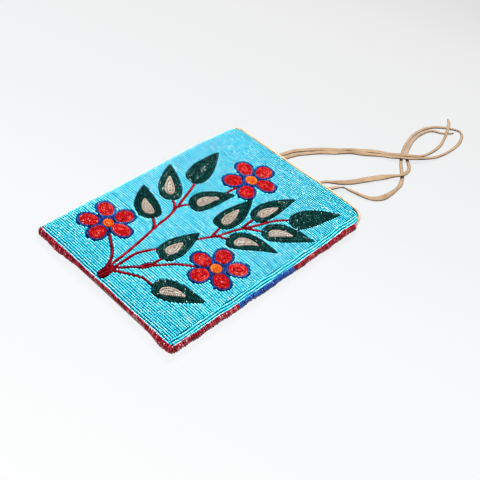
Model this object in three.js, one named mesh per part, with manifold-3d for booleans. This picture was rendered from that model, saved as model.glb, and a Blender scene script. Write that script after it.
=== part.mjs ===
// A flat beadwork bag that lies on its back: a hide back, a cloth front turned down at three seams, a skin of
// seed beads with a floral pattern, a rolled bead edge, a bound mouth and three loose hide laces.
// Millimetres. X runs across the bag, Y up to the mouth, Z out of the beaded face. The origin is under the middle.
import * as THREE from 'three';
import { mergeVertices } from 'three/addons/utils/BufferGeometryUtils.js';
import Module from 'manifold-3d';

const wasm = await Module();
wasm.setup();

// Bead field and its rows
const FACE_WIDTH = 150;
const FACE_LENGTH = 225;
const ROW_PITCH = 2.1;
const ROWS_PER_RIDGE = 2;
const BEAD_HEIGHT = 2.0;
const RIDGE_DEPTH = 0.8;

// Panels
const BACK_THICKNESS = 1.2;
const FRONT_THICKNESS = 0.8;
const SEAM_WALL = 1.2;
const POCKET_DEPTH = 5.0;

// Plan shape
const MOUTH_RADIUS_RIGHT = 11;
const MOUTH_RADIUS_LEFT = 5;
const BOTTOM_RADIUS = 1.5;
const GAP = 0.3;

// Rolled edge and mouth binding
const ROLL_BULGE = 2.5;
const ROLL_VALLEY = 2.0;
const ROLL_BOTTOM = 0.3;
const ROLL_TOP_RISE = 0.2;
const ROLL_SLOPE = 1.9;
const BLUE_FROM = -43;
const BLUE_TO = 21.5;
const BINDING_WIDTH = 2.5;
const BINDING_RISE = 0.4;

// Pattern
const OUTLINE_WIDTH = 1.9;
const EYE_RING_WIDTH = 2.6;
const STEM_WIDTH = 2.1;

// Laces
const LACE_WIDTH = 3.2;
const LACE_THICKNESS = 1.5;
const LACE_STEP = 9;

const HALF_WIDTH = FACE_WIDTH / 2;
const HALF_LENGTH = FACE_LENGTH / 2;
const POCKET_TOP = BACK_THICKNESS + POCKET_DEPTH;
const CLOTH_TOP = POCKET_TOP + FRONT_THICKNESS;
const BEAD_TOP = CLOTH_TOP + BEAD_HEIGHT;

const COLOURS = {
  hide: [0xcdab80, 0.9],
  cloth: [0xd8ccb4, 0.95],
  lightBlue: [0x5acdeb, 0.3],
  darkBlue: [0x1a3f9a, 0.3],
  red: [0xc81e26, 0.3],
  darkRed: [0x96142a, 0.3],
  orange: [0xf58a1a, 0.3],
  green: [0x0a4038, 0.3],
  pale: [0xdcc0ac, 0.35],
};

const bag = new THREE.Group();
bag.name = 'beaded_flat_bag';

function addMesh(name, geometry, colourName) {
  const [colour, roughness] = COLOURS[colourName];
  const material = new THREE.MeshStandardMaterial({ color: colour, roughness, metalness: 0 });
  const mesh = new THREE.Mesh(geometry, material);
  mesh.name = name;
  bag.add(mesh);
}

// Solids: to and from the boolean library

function toSolid(geometry) {
  const bare = geometry.clone();
  bare.deleteAttribute('normal');
  bare.deleteAttribute('uv');
  const merged = mergeVertices(bare, 1e-4);
  const vertProperties = new Float32Array(merged.attributes.position.array);
  const triVerts = new Uint32Array(merged.index.array);
  return new wasm.Manifold(new wasm.Mesh({ numProp: 3, vertProperties, triVerts }));
}

function toGeometry(solid) {
  const mesh = solid.getMesh();
  const geometry = new THREE.BufferGeometry();
  geometry.setAttribute('position', new THREE.BufferAttribute(mesh.vertProperties, 3));
  geometry.setIndex(new THREE.BufferAttribute(mesh.triVerts, 1));
  geometry.computeVertexNormals();
  return geometry;
}

function joined(solids) {
  return solids.reduce((whole, next) => whole.add(next));
}

// A prism over a closed outline of [x, y] points, from one height to another
function prism(points, bottom, top) {
  const shape = new THREE.Shape(points.map(([x, y]) => new THREE.Vector2(x, y)));
  const geometry = new THREE.ExtrudeGeometry(shape, { depth: top - bottom, bevelEnabled: false });
  geometry.translate(0, 0, bottom);
  return toSolid(geometry);
}

// Plan outlines

function arcPoints(centreX, centreY, radius, fromAngle, toAngle, steps) {
  const points = [];
  for (let i = 0; i <= steps; i += 1) {
    const angle = THREE.MathUtils.degToRad(fromAngle + ((toAngle - fromAngle) * i) / steps);
    points.push([centreX + radius * Math.cos(angle), centreY + radius * Math.sin(angle)]);
  }
  return points;
}

// The bag's outline, grown outwards, with the mouth edge further out by mouthGrow
function bagOutline(grow, mouthGrow = grow) {
  const right = HALF_WIDTH + grow;
  const bottom = -HALF_LENGTH - grow;
  const mouth = HALF_LENGTH + mouthGrow;
  const bottomRadius = BOTTOM_RADIUS + grow;
  const rightRadius = MOUTH_RADIUS_RIGHT + grow;
  const leftRadius = MOUTH_RADIUS_LEFT + grow;
  return [
    ...arcPoints(right - bottomRadius, bottom + bottomRadius, bottomRadius, -90, 0, 3),
    ...arcPoints(right - rightRadius, mouth - rightRadius, rightRadius, 0, 90, 8),
    ...arcPoints(-right + leftRadius, mouth - leftRadius, leftRadius, 90, 180, 5),
    ...arcPoints(-right + bottomRadius, bottom + bottomRadius, bottomRadius, 180, 270, 3),
  ];
}

// A leaf: blunt at its base, pointed at its tip, and bowed sideways by bend half way along
function leafOutline({ base, tip, width, bend }, grow = 0) {
  const axis = new THREE.Vector2(tip[0] - base[0], tip[1] - base[1]);
  const length = axis.length();
  axis.normalize();
  const side = new THREE.Vector2(-axis.y, axis.x);
  const profile = [[0, 0.3], [0.05, 0.68], [0.13, 0.9], [0.3, 1], [0.45, 0.95], [0.66, 0.7], [0.85, 0.38], [1, 0.06]];
  const place = ([along, across], sign) => {
    const stretch = along * (length + 2 * grow) - grow;
    const bow = 4 * bend * along * (1 - along);
    const reach = bow + sign * ((across * width) / 2 + grow);
    return [
      base[0] + axis.x * stretch + side.x * reach,
      base[1] + axis.y * stretch + side.y * reach,
    ];
  };
  const rightSide = profile.map((station) => place(station, -1));
  const leftSide = profile.map((station) => place(station, 1)).reverse();
  return [...rightSide, ...leftSide];
}

// A petal: round outside, narrowing towards the flower's centre
function petalOutline({ at, angle, size }, grow = 0) {
  const profile = [[-0.5, 0.42], [-0.34, 0.76], [-0.08, 0.97], [0.16, 0.98], [0.37, 0.7], [0.5, 0.24]];
  const direction = THREE.MathUtils.degToRad(angle);
  const out = new THREE.Vector2(Math.cos(direction), Math.sin(direction));
  const side = new THREE.Vector2(-out.y, out.x);
  const place = ([along, across], sign) => {
    const stretch = along * (size[0] + 2 * grow);
    const reach = sign * ((across * size[1]) / 2 + grow);
    return [at[0] + out.x * stretch + side.x * reach, at[1] + out.y * stretch + side.y * reach];
  };
  const rightSide = profile.map((station) => place(station, -1));
  const leftSide = profile.map((station) => place(station, 1)).reverse();
  return [...rightSide, ...leftSide];
}

// A stem: a band of one width along a smooth line
function bandOutline(points, width) {
  const half = width / 2;
  const left = [];
  const right = [];
  points.forEach(([x, y], i) => {
    const before = points[Math.max(i - 1, 0)];
    const after = points[Math.min(i + 1, points.length - 1)];
    const along = new THREE.Vector2(after[0] - before[0], after[1] - before[1]).normalize();
    left.push([x - along.y * half, y + along.x * half]);
    right.push([x + along.y * half, y - along.x * half]);
  });
  return [...right, ...left.reverse()];
}

// The floral pattern. It is drawn from the middle of a sheet 150 wide and 225 long, which covers the whole face

const SHARE_ACROSS = FACE_WIDTH / 150;
const SHARE_ALONG = FACE_LENGTH / 225;
const MOTIF_SHARE = Math.min(SHARE_ACROSS, SHARE_ALONG);

function onFace([x, y]) {
  return [x * SHARE_ACROSS, y * SHARE_ALONG];
}

function placedFlower({ name, centre, radius, petalSize, petals }) {
  const [middleX, middleY] = onFace(centre);
  return {
    name,
    centre: [middleX, middleY],
    radius: radius * MOTIF_SHARE,
    petalSize: petalSize.map((length) => length * MOTIF_SHARE),
    petals: petals.map(([x, y, angle]) => [
      middleX + (x - centre[0]) * MOTIF_SHARE,
      middleY + (y - centre[1]) * MOTIF_SHARE,
      angle,
    ]),
  };
}

function placedLeaf({ name, base, tip, width, bend = 0, heart }) {
  return {
    name,
    base: onFace(base),
    tip: onFace(tip),
    width: width * MOTIF_SHARE,
    bend: bend * MOTIF_SHARE,
    heart: heart && placedLeaf(heart),
  };
}

const FLOWERS = [
  {
    name: 'top',
    centre: [-16.5, 68.4],
    radius: 5.4,
    petalSize: [15.2, 13.3],
    petals: [[-17, 85.3, 91], [-3.9, 73.9, 21], [-8.2, 53.5, -62], [-25.7, 54.6, -123], [-30.3, 74.2, 158]],
  },
  {
    name: 'left',
    centre: [-48.2, -67.3],
    radius: 4.6,
    petalSize: [14.8, 12.7],
    petals: [[-46.1, -52, 82], [-35.8, -64.4, 12], [-45.2, -81.1, -78], [-60.3, -77.6, -138], [-61.6, -58.9, 149.5]],
  },
  {
    name: 'right',
    centre: [39.6, -31.9],
    radius: 4.9,
    petalSize: [15, 13],
    petals: [[34.1, -17.9, 112], [51.1, -18.6, 49], [51.7, -38.4, -27], [36.6, -47.2, -101.5], [26, -34.3, 189]],
  },
].map(placedFlower);

// A heart is the pale middle of a leaf, drawn in the same way as the leaf
const LEAVES = [
  { name: 'far_left_top', base: [-45.5, 23.5], tip: [-59.6, 69.6], width: 19.8, bend: 0.3 },
  {
    name: 'left_upper', base: [-39.5, -6.5], tip: [-72.4, 22.9], width: 19.8, bend: 0.4,
    heart: { base: [-44.8, -2.8], tip: [-61.8, 12.8], width: 8.6, bend: 0.2 },
  },
  {
    name: 'left_lower', base: [-32.5, -34.5], tip: [-65.4, -13.9], width: 21, bend: 1.6,
    heart: { base: [-36.2, -31.8], tip: [-53.6, -23.6], width: 9, bend: 1.4 },
  },
  {
    name: 'inner_left', base: [-22.9, 1.5], tip: [-12, 42], width: 20.5, bend: 3.1,
    heart: { base: [-21.8, 7.4], tip: [-16.4, 28.7], width: 8.8, bend: 1.8 },
  },
  {
    name: 'middle', base: [6.8, 2.6], tip: [2.2, 48.5], width: 19, bend: -1.3,
    heart: { base: [7.5, 8.4], tip: [3.2, 32.5], width: 8.6, bend: -0.2 },
  },
  {
    name: 'inner_right', base: [18.7, 34], tip: [23.1, 82], width: 17.6, bend: 2,
    heart: { base: [18.7, 40.4], tip: [22.1, 62.6], width: 8.2, bend: 0.5 },
  },
  { name: 'far_right_top', base: [42, 55.9], tip: [59.8, 100.2], width: 20, bend: 3.1 },
  {
    name: 'right_upper', base: [33.8, 28.5], tip: [66.8, 56.2], width: 21, bend: 3.1,
    heart: { base: [38.4, 31.3], tip: [53.4, 46.6], width: 8.6, bend: 2.4 },
  },
  {
    name: 'right_lower', base: [22.9, -3], tip: [56.9, 21.4], width: 19.5, bend: 4.3,
    heart: { base: [28.6, -0.2], tip: [43.3, 14.4], width: 8.8, bend: 3.2 },
  },
  {
    name: 'centre_low', base: [4.1, -58.5], tip: [3.4, -15.6], width: 19.4,
    heart: { base: [3.8, -51.9], tip: [3.8, -33.2], width: 8.4 },
  },
  {
    name: 'bottom_right', base: [22.9, -84], tip: [58.5, -63.2], width: 21.2, bend: 0.4,
    heart: { base: [30, -83.8], tip: [47.1, -71.1], width: 8.6, bend: 2.3 },
  },
].map(placedLeaf);

const ROOT = [[-12.2, -108.8], [-5.4, -108.8], [-5.8, -100], [-7, -93.5], [-9.8, -93.5], [-13.6, -99.5]].map(onFace);
const KNOT = [[2.6, -80.3], [6.2, -76.5], [8, -69], [4.6, -68], [1.4, -74.5]].map(onFace);

const LOWER_STEMS = [
  [[-10, -102], [-13.9, -97.5], [-16.6, -91.8], [-22.2, -85.7], [-29.3, -80.6], [-39, -74.6]],
  [[-10.5, -101], [-13, -92], [-14.4, -80], [-18.4, -58.5], [-22.4, -40.5], [-25.6, -22], [-28.8, -12.3],
    [-33, 0], [-38.8, 16], [-43.5, 26.5]],
  [[-22, -42.8], [-27, -36.9], [-34, -33.4]],
  [[-28.4, -13.5], [-33, -8.4], [-41, -4.4]],
  [[-29.6, -9.8], [-28.4, -2.5], [-24, 4.5]],
  [[-8.8, -98], [-9.2, -88], [-9.9, -73], [-7.6, -64], [-2.8, -52]],
  [[-8, -95], [-3, -86.5], [4.2, -76]],
  [[5.8, -70], [6, -56.5]],
  [[6.5, -71], [12, -61.8], [18.3, -52.4], [30.5, -42]],
  [[-7, -97.5], [4, -89.6], [13, -84.6], [27, -83.6]],
].map((line) => line.map(onFace));

const UPPER_STEMS = [
  [[6, -25], [10.6, -13.8], [14.8, -4.5], [18.8, 11.2], [22.6, 22], [26.6, 34.5], [29.8, 45], [33.4, 52.7], [40, 61]],
  [[12.2, -8.5], [10.3, -2], [8.8, 6]],
  [[13.4, -6.8], [18, -3.4], [27, -0.5]],
  [[20.6, 18], [19.3, 27], [18.6, 38]],
  [[20.8, 18.6], [27, 24.2], [37, 33]],
].map((line) => line.map(onFace));

const TOP_STEM = [[-18.2, 34], [-18, 42.5], [-17, 55]].map(onFace);

// Lies inside the stems and the leaf that close off a small patch of ground
const ENCLOSED_PATCH = [
  [-8.9, -96], [-9.2, -88], [-9.9, -73], [-7.6, -64], [-3.2, -53], [5.9, -57], [5.8, -70], [4.2, -76], [-3, -86.5],
].map(onFace);

function leafSolid(leaf, grow, bottom = CLOTH_TOP, top = BEAD_TOP) {
  return prism(leafOutline(leaf, grow), bottom, top);
}

function petalSolid(flower, [x, y, angle], grow = 0, bottom = CLOTH_TOP, top = BEAD_TOP) {
  return prism(petalOutline({ at: [x, y], angle, size: flower.petalSize }, grow), bottom, top);
}

function flowerSolid(flower, grow, bottom, top) {
  const petals = flower.petals.map((petal) => petalSolid(flower, petal, grow, bottom, top));
  const middle = arcPoints(...flower.centre, flower.radius + grow + EYE_RING_WIDTH, 0, 336, 14);
  return joined([...petals, prism(middle, bottom, top)]);
}

const CUT_BOTTOM = CLOTH_TOP - 1;
const CUT_TOP = BEAD_TOP + 1;

const leafCuts = joined(LEAVES.map((leaf) => leafSolid(leaf, GAP, CUT_BOTTOM, CUT_TOP)));
const flowerCuts = joined(FLOWERS.map((flower) => flowerSolid(flower, OUTLINE_WIDTH + GAP, CUT_BOTTOM, CUT_TOP)));

function stems(lines, extras, width, grow, bottom, top) {
  const bands = lines.map((line) => prism(bandOutline(line, width + 2 * grow), bottom, top));
  return joined([...bands, ...extras.map((outline) => prism(outline, bottom, top))]);
}

function trimmed(solid) {
  return solid.subtract(leafCuts).subtract(flowerCuts);
}

function addStems() {
  const lower = stems(LOWER_STEMS, [ROOT, KNOT], STEM_WIDTH, 0, CLOTH_TOP, BEAD_TOP);
  const upper = stems(UPPER_STEMS, [], STEM_WIDTH, 0, CLOTH_TOP, BEAD_TOP);
  const short = stems([TOP_STEM], [], STEM_WIDTH, 0, CLOTH_TOP, BEAD_TOP);
  addMesh('stems_lower', toGeometry(trimmed(lower)), 'darkRed');
  addMesh('stems_upper', toGeometry(trimmed(upper)), 'darkRed');
  addMesh('stem_top_flower', toGeometry(trimmed(short)), 'darkRed');
}

function addLeaves() {
  LEAVES.forEach((leaf) => {
    let solid = leafSolid(leaf, 0);
    if (leaf.heart) {
      solid = solid.subtract(leafSolid(leaf.heart, GAP, CUT_BOTTOM, CUT_TOP));
      addMesh(`leaf_heart_${leaf.name}`, toGeometry(leafSolid(leaf.heart, 0)), 'pale');
    }
    addMesh(`leaf_${leaf.name}`, toGeometry(solid), 'green');
  });
}

function addFlowers() {
  FLOWERS.forEach((flower) => {
    const centre = arcPoints(...flower.centre, flower.radius, 0, 330, 11);
    const centreHole = arcPoints(...flower.centre, flower.radius + GAP, 0, 330, 11);
    const holes = flower.petals.map((petal) => petalSolid(flower, petal, GAP, CUT_BOTTOM, CUT_TOP));
    const outline = flowerSolid(flower, OUTLINE_WIDTH, CLOTH_TOP, BEAD_TOP)
      .subtract(joined([...holes, prism(centreHole, CUT_BOTTOM, CUT_TOP)]));
    addMesh(`flower_${flower.name}_outline`, toGeometry(outline), 'darkBlue');
    addMesh(`flower_${flower.name}_centre`, toGeometry(prism(centre, CLOTH_TOP, BEAD_TOP)), 'orange');
    flower.petals.forEach((petal, i) => {
      addMesh(`flower_${flower.name}_petal_${i + 1}`, toGeometry(petalSolid(flower, petal)), 'red');
    });
  });
}

// The ground: ridged slab, one ridge for each pair of bead rows, cut out round the pattern

function ridgedSlab() {
  const ridge = ROW_PITCH * ROWS_PER_RIDGE;
  const count = Math.ceil(FACE_LENGTH / ridge);
  const start = -(count * ridge) / 2;
  const profile = [[start, 0]];
  for (let i = 0; i < count; i += 1) {
    profile.push([start + i * ridge, BEAD_HEIGHT - RIDGE_DEPTH]);
    profile.push([start + (i + 0.5) * ridge, BEAD_HEIGHT]);
  }
  profile.push([-start, BEAD_HEIGHT - RIDGE_DEPTH], [-start, 0]);
  const shape = new THREE.Shape(profile.map(([y, z]) => new THREE.Vector2(y, z)));
  const geometry = new THREE.ExtrudeGeometry(shape, { depth: FACE_WIDTH + 10, bevelEnabled: false });
  geometry.translate(0, 0, -(FACE_WIDTH + 10) / 2);
  // The profile's own axes become Y and Z, and the sweep runs along X
  const turn = new THREE.Matrix4().set(0, 0, 1, 0, 1, 0, 0, 0, 0, 1, 0, CLOTH_TOP, 0, 0, 0, 1);
  geometry.applyMatrix4(turn);
  return toSolid(geometry);
}

function addGround() {
  const stemCuts = joined([
    stems(LOWER_STEMS, [], STEM_WIDTH, GAP, CUT_BOTTOM, CUT_TOP),
    stems(UPPER_STEMS, [], STEM_WIDTH, GAP, CUT_BOTTOM, CUT_TOP),
    stems([TOP_STEM], [], STEM_WIDTH, GAP, CUT_BOTTOM, CUT_TOP),
    ...[ROOT, KNOT].map((outline) => prism(grown(outline, GAP), CUT_BOTTOM, CUT_TOP)),
  ]);
  const ground = ridgedSlab()
    .intersect(prism(bagOutline(-GAP), CUT_BOTTOM, CUT_TOP))
    .subtract(stemCuts)
    .subtract(leafCuts)
    .subtract(flowerCuts);
  const patch = prism(ENCLOSED_PATCH, CUT_BOTTOM, CUT_TOP);
  addMesh('bead_ground', toGeometry(ground.subtract(patch)), 'lightBlue');
  addMesh('bead_ground_patch', toGeometry(ground.intersect(patch)), 'lightBlue');
}

// A small convex outline, pushed out from its middle
function grown(outline, grow) {
  const middleX = outline.reduce((sum, [x]) => sum + x, 0) / outline.length;
  const middleY = outline.reduce((sum, [, y]) => sum + y, 0) / outline.length;
  return outline.map(([x, y]) => {
    const away = new THREE.Vector2(x - middleX, y - middleY);
    away.setLength(away.length() + 1.5 * grow);
    return [middleX + away.x, middleY + away.y];
  });
}

// Panels

function addPanels() {
  const mouthReach = BINDING_WIDTH - GAP;
  addMesh('back_panel', toGeometry(prism(bagOutline(-GAP, mouthReach), 0, BACK_THICKNESS)), 'hide');
  const outer = prism(bagOutline(-GAP), BACK_THICKNESS, CLOTH_TOP);
  const inside = HALF_WIDTH - GAP - SEAM_WALL;
  const bottom = -HALF_LENGTH + GAP + SEAM_WALL;
  const pocket = [[-inside, bottom], [inside, bottom], [inside, HALF_LENGTH + 5], [-inside, HALF_LENGTH + 5]];
  addMesh('front_panel', toGeometry(outer.subtract(prism(pocket, BACK_THICKNESS - 1, POCKET_TOP))), 'cloth');
}

// Closed skin over a row of rings that all have the same number of points
function skinned(rings) {
  const perRing = rings[0].length;
  const positions = rings.flat(2);
  const index = [];
  for (let r = 0; r + 1 < rings.length; r += 1) {
    for (let i = 0; i < perRing; i += 1) {
      const a = r * perRing + i;
      const b = r * perRing + ((i + 1) % perRing);
      index.push(a, b + perRing, b, a, a + perRing, b + perRing);
    }
  }
  const last = (rings.length - 1) * perRing;
  for (let i = 1; i + 1 < perRing; i += 1) {
    index.push(0, i, i + 1, last, last + i + 1, last + i);
  }
  const geometry = new THREE.BufferGeometry();
  geometry.setAttribute('position', new THREE.Float32BufferAttribute(positions, 3));
  geometry.setIndex(index);
  geometry.computeVertexNormals();
  return geometry;
}

// Rolled edge: lanes of beads wrapped over the seam, one ridge for each pair of lanes

function rollSection(bulge) {
  const top = BEAD_TOP - ROLL_TOP_RISE;
  return [[0, ROLL_BOTTOM], [bulge, ROLL_BOTTOM + ROLL_SLOPE], [bulge, top - ROLL_SLOPE], [0, top]];
}

// Stations are [x, y, outward x, outward y] on the roll's inner line, anticlockwise round the bag
function rolled(stations) {
  const rings = stations.map(([x, y, outX, outY], i) => {
    const bulge = i % 2 === 0 ? ROLL_VALLEY : ROLL_BULGE;
    return rollSection(bulge).map(([out, z]) => [x + outX * out, y + outY * out, z]);
  });
  return skinned(rings);
}

function straightStations(from, to, outX, outY) {
  const length = Math.hypot(to[0] - from[0], to[1] - from[1]);
  const steps = 2 * Math.round(length / (ROW_PITCH * ROWS_PER_RIDGE));
  const stations = [];
  for (let i = 0; i <= steps; i += 1) {
    const t = i / steps;
    stations.push([from[0] + (to[0] - from[0]) * t, from[1] + (to[1] - from[1]) * t, outX, outY]);
  }
  return stations;
}

function cornerStations(centreX, centreY, fromAngle, toAngle, steps) {
  const stations = [];
  for (let i = 1; i < steps; i += 1) {
    const angle = THREE.MathUtils.degToRad(fromAngle + ((toAngle - fromAngle) * i) / steps);
    const outX = Math.cos(angle);
    const outY = Math.sin(angle);
    stations.push([centreX + BOTTOM_RADIUS * outX, centreY + BOTTOM_RADIUS * outY, outX, outY]);
  }
  return stations;
}

function addRolls() {
  const cornerX = HALF_WIDTH - BOTTOM_RADIUS;
  const cornerY = -HALF_LENGTH + BOTTOM_RADIUS;
  const bottom = [
    [-HALF_WIDTH, cornerY, -1, 0],
    ...cornerStations(-cornerX, cornerY, 180, 270, 4),
    ...straightStations([-cornerX, -HALF_LENGTH], [cornerX, -HALF_LENGTH], 0, -1),
    ...cornerStations(cornerX, cornerY, -90, 0, 4),
    [HALF_WIDTH, cornerY, 1, 0],
  ];
  addMesh('edge_roll_bottom', rolled(bottom), 'darkRed');
  const sides = [
    { name: 'right', x: HALF_WIDTH, out: 1, end: HALF_LENGTH - MOUTH_RADIUS_RIGHT },
    { name: 'left', x: -HALF_WIDTH, out: -1, end: HALF_LENGTH - MOUTH_RADIUS_LEFT },
  ];
  sides.forEach(({ name, x, out, end }) => {
    const stretches = [
      ['lower', cornerY + GAP, BLUE_FROM, 'darkRed'],
      ['blue', BLUE_FROM + GAP, BLUE_TO, 'darkBlue'],
      ['upper', BLUE_TO + GAP, end, 'darkRed'],
    ];
    stretches.forEach(([part, from, to, colour]) => {
      // The left side runs down the bag, so that both go anticlockwise
      const [start, stop] = out > 0 ? [from, to] : [to, from];
      addMesh(`edge_roll_${name}_${part}`, rolled(straightStations([x, start], [x, stop], out, 0)), colour);
    });
  });
}

// Mouth binding: a folded hide strip over the front panel's edge, round both mouth corners

function addBinding() {
  const rightX = HALF_WIDTH - MOUTH_RADIUS_RIGHT;
  const rightY = HALF_LENGTH - MOUTH_RADIUS_RIGHT;
  const leftX = -HALF_WIDTH + MOUTH_RADIUS_LEFT;
  const leftY = HALF_LENGTH - MOUTH_RADIUS_LEFT;
  const inner = [
    ...arcPoints(rightX, rightY, MOUTH_RADIUS_RIGHT, 2, 90, 8),
    ...arcPoints(leftX, leftY, MOUTH_RADIUS_LEFT, 90, 177, 5),
  ];
  const outer = [
    ...arcPoints(rightX, rightY, MOUTH_RADIUS_RIGHT + BINDING_WIDTH, 2, 90, 8),
    ...arcPoints(leftX, leftY, MOUTH_RADIUS_LEFT + BINDING_WIDTH, 90, 177, 5),
  ];
  const top = BEAD_TOP + BINDING_RISE;
  const chamfer = BINDING_WIDTH / 4;
  const rings = inner.map(([x, y], i) => {
    const [outX, outY] = outer[i];
    const at = (share) => [x + (outX - x) * share, y + (outY - y) * share];
    return [
      [...at(0), POCKET_TOP],
      [...at(1), POCKET_TOP],
      [...at(1), top - chamfer],
      [...at(0.7), top],
      [...at(0.2), top],
      [...at(0), top - chamfer],
    ];
  });
  addMesh('mouth_binding', skinned(rings), 'hide');
}

// Laces: flat hide thongs that leave the mouth and lie on the table, by [x, y, z] along each

const HANDLE_LACE = [
  [-26.5, 101, 2.3], [-25.2, 115, 2.3], [-22.9, 130.9, 1.2], [-21.4, 137.9, 0.9], [-18.1, 144.7, 0.9], [-13.9, 152.7, 0.9],
  [-9.5, 160.4, 0.9], [-3.8, 168.7, 0.9], [1.9, 177.3, 0.9], [6.8, 184.8, 0.9], [12.5, 191.4, 0.9], [19.1, 199.2, 0.9],
  [25.8, 206.3, 0.9], [33.5, 212.1, 1.6], [41.5, 219.7, 2.7], [47.5, 226, 3], [54.9, 237.4, 2.7], [59.9, 250.8, 1.2],
  [62.1, 261.2, 0.9], [63.1, 270.9, 0.9], [63, 282.5, 0.9], [61.3, 293.2, 0.9], [57.9, 302.4, 0.9], [53.9, 307.6, 0.9],
  [49.7, 308.7, 0.9], [44.8, 306, 0.9], [39.2, 301.2, 0.9], [34.5, 295.9, 0.9], [30, 289, 0.9], [26.9, 279.8, 0.9],
  [25.9, 269.9, 0.9], [26.6, 259.1, 0.9], [29.1, 248.1, 0.9], [32.6, 237.8, 0.9], [36.3, 229.7, 0.9], [40.2, 222.2, 0.9],
  [45.2, 214.9, 0.9], [51.2, 207.5, 0.9], [57.3, 200.5, 0.9], [61.4, 194.1, 0.9], [64.3, 187.4, 0.9], [65.7, 178.9, 0.9],
  [66.1, 170.4, 0.9], [65.5, 161.3, 0.9], [62.9, 154.1, 0.9], [58, 148.8, 0.9], [51.7, 145.4, 0.9], [44.9, 142.6, 0.9],
  [39, 140.4, 0.9], [34.9, 137.9, 1], [31.5, 133.6, 1.3], [27.8, 125, 1.8], [25.5, 114.5, 2.3], [24.5, 101, 2.3],
];

const LEFT_TIE_LACE = [
  [-31.5, 101, 2.3], [-30.2, 115, 2.3], [-27.8, 132, 1.2], [-26.1, 139.6, 0.9], [-22.5, 147, 0.9], [-18.1, 155.1, 0.9],
  [-13.2, 162.9, 0.9], [-7, 170.9, 0.9], [-1.2, 179.4, 0.9], [3.6, 187.3, 0.9], [9.6, 193.9, 0.9], [15.8, 202, 0.9],
  [23, 209.6, 0.9], [31, 215.5, 1.6], [39, 222.6, 2.7], [45, 229.1, 3], [50.2, 236.2, 2.7], [52.7, 247.7, 1.2],
  [53.3, 260.4, 0.9], [52.1, 272.2, 0.95], [49.2, 282.4, 1.5], [45.9, 290.9, 2.8], [41.6, 299.9, 2.9], [36.7, 309.6, 1.9],
  [31.7, 315.3, 0.9],
];

const RIGHT_TIE_LACE = [
  [13.5, 101, 2.3], [15.2, 115, 2.3], [19.2, 130, 1.2], [23.9, 136.5, 0.9], [29.4, 142.9, 0.9], [34.4, 151.8, 0.9],
  [38.5, 162, 0.9], [42.9, 172, 0.9], [47.3, 182.2, 0.9], [51.2, 189.8, 1.4], [55.4, 194.4, 2.8], [57.9, 200.4, 3],
  [57.1, 209.3, 1.8], [53.6, 217.1, 0.9], [48, 222.2, 0.9], [41.9, 227.8, 0.9], [37.4, 236, 0.9], [34, 244.9, 0.9],
  [31.3, 254.5, 0.9], [29.9, 264.3, 0.9], [30.1, 273.7, 0.9], [31.6, 281.3, 0.9], [35.3, 286.1, 0.9], [40.9, 289.5, 0.9],
  [45.3, 294.7, 0.9], [48.6, 300.6, 0.9],
];

function laceGeometry(points) {
  const curve = new THREE.CatmullRomCurve3(points.map(([x, y, z]) => new THREE.Vector3(x, y, z)), false, 'centripetal');
  const section = new THREE.Shape();
  const corner = 0.35;
  const halfWidth = LACE_WIDTH / 2;
  const halfThickness = LACE_THICKNESS / 2;
  // The sweep lays the section's first axis upright and its second across
  const outline = [
    [-halfThickness, -halfWidth + corner * 2], [-halfThickness + corner, -halfWidth],
    [halfThickness - corner, -halfWidth], [halfThickness, -halfWidth + corner * 2],
    [halfThickness, halfWidth - corner * 2], [halfThickness - corner, halfWidth],
    [-halfThickness + corner, halfWidth], [-halfThickness, halfWidth - corner * 2],
  ];
  section.setFromPoints(outline.map(([up, across]) => new THREE.Vector2(up, across)));
  const steps = Math.round(curve.getLength() / LACE_STEP);
  return new THREE.ExtrudeGeometry(section, { steps, bevelEnabled: false, extrudePath: curve });
}

function addLaces() {
  addMesh('lace_handle', laceGeometry(HANDLE_LACE), 'hide');
  addMesh('lace_tie_left', laceGeometry(LEFT_TIE_LACE), 'hide');
  addMesh('lace_tie_right', laceGeometry(RIGHT_TIE_LACE), 'hide');
}

addPanels();
addGround();
addStems();
addLeaves();
addFlowers();
addRolls();
addBinding();
addLaces();

export default bag;
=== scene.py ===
"""Looks of the beaded flat bag. Every bead is a small glass barrel, laid in rows as on the real face."""

import math

import bpy
import numpy as np
from mathutils import Matrix, Vector


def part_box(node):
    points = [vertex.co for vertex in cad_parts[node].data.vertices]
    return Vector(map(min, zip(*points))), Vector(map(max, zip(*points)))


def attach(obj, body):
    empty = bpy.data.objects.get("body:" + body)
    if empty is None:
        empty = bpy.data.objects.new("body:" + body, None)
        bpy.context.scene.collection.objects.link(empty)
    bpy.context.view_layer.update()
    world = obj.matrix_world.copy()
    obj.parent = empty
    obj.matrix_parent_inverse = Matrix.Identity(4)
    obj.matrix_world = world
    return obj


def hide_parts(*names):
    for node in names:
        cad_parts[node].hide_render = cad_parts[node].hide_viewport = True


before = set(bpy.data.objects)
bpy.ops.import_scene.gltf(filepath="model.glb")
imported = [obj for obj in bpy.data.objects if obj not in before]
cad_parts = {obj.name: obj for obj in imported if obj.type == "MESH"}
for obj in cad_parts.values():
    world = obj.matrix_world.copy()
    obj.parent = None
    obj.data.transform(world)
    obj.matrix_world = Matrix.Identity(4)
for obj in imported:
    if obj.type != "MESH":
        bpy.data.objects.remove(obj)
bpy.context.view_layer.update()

# Lengths below are in millimetres, and meshes are scaled to metres when they are made
MM = 0.001
HALF_WIDTH = 75.0
HALF_LENGTH = 112.5
CLOTH_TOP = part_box("front_panel")[1].z / MM
BACK_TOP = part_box("back_panel")[1].z / MM

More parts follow.
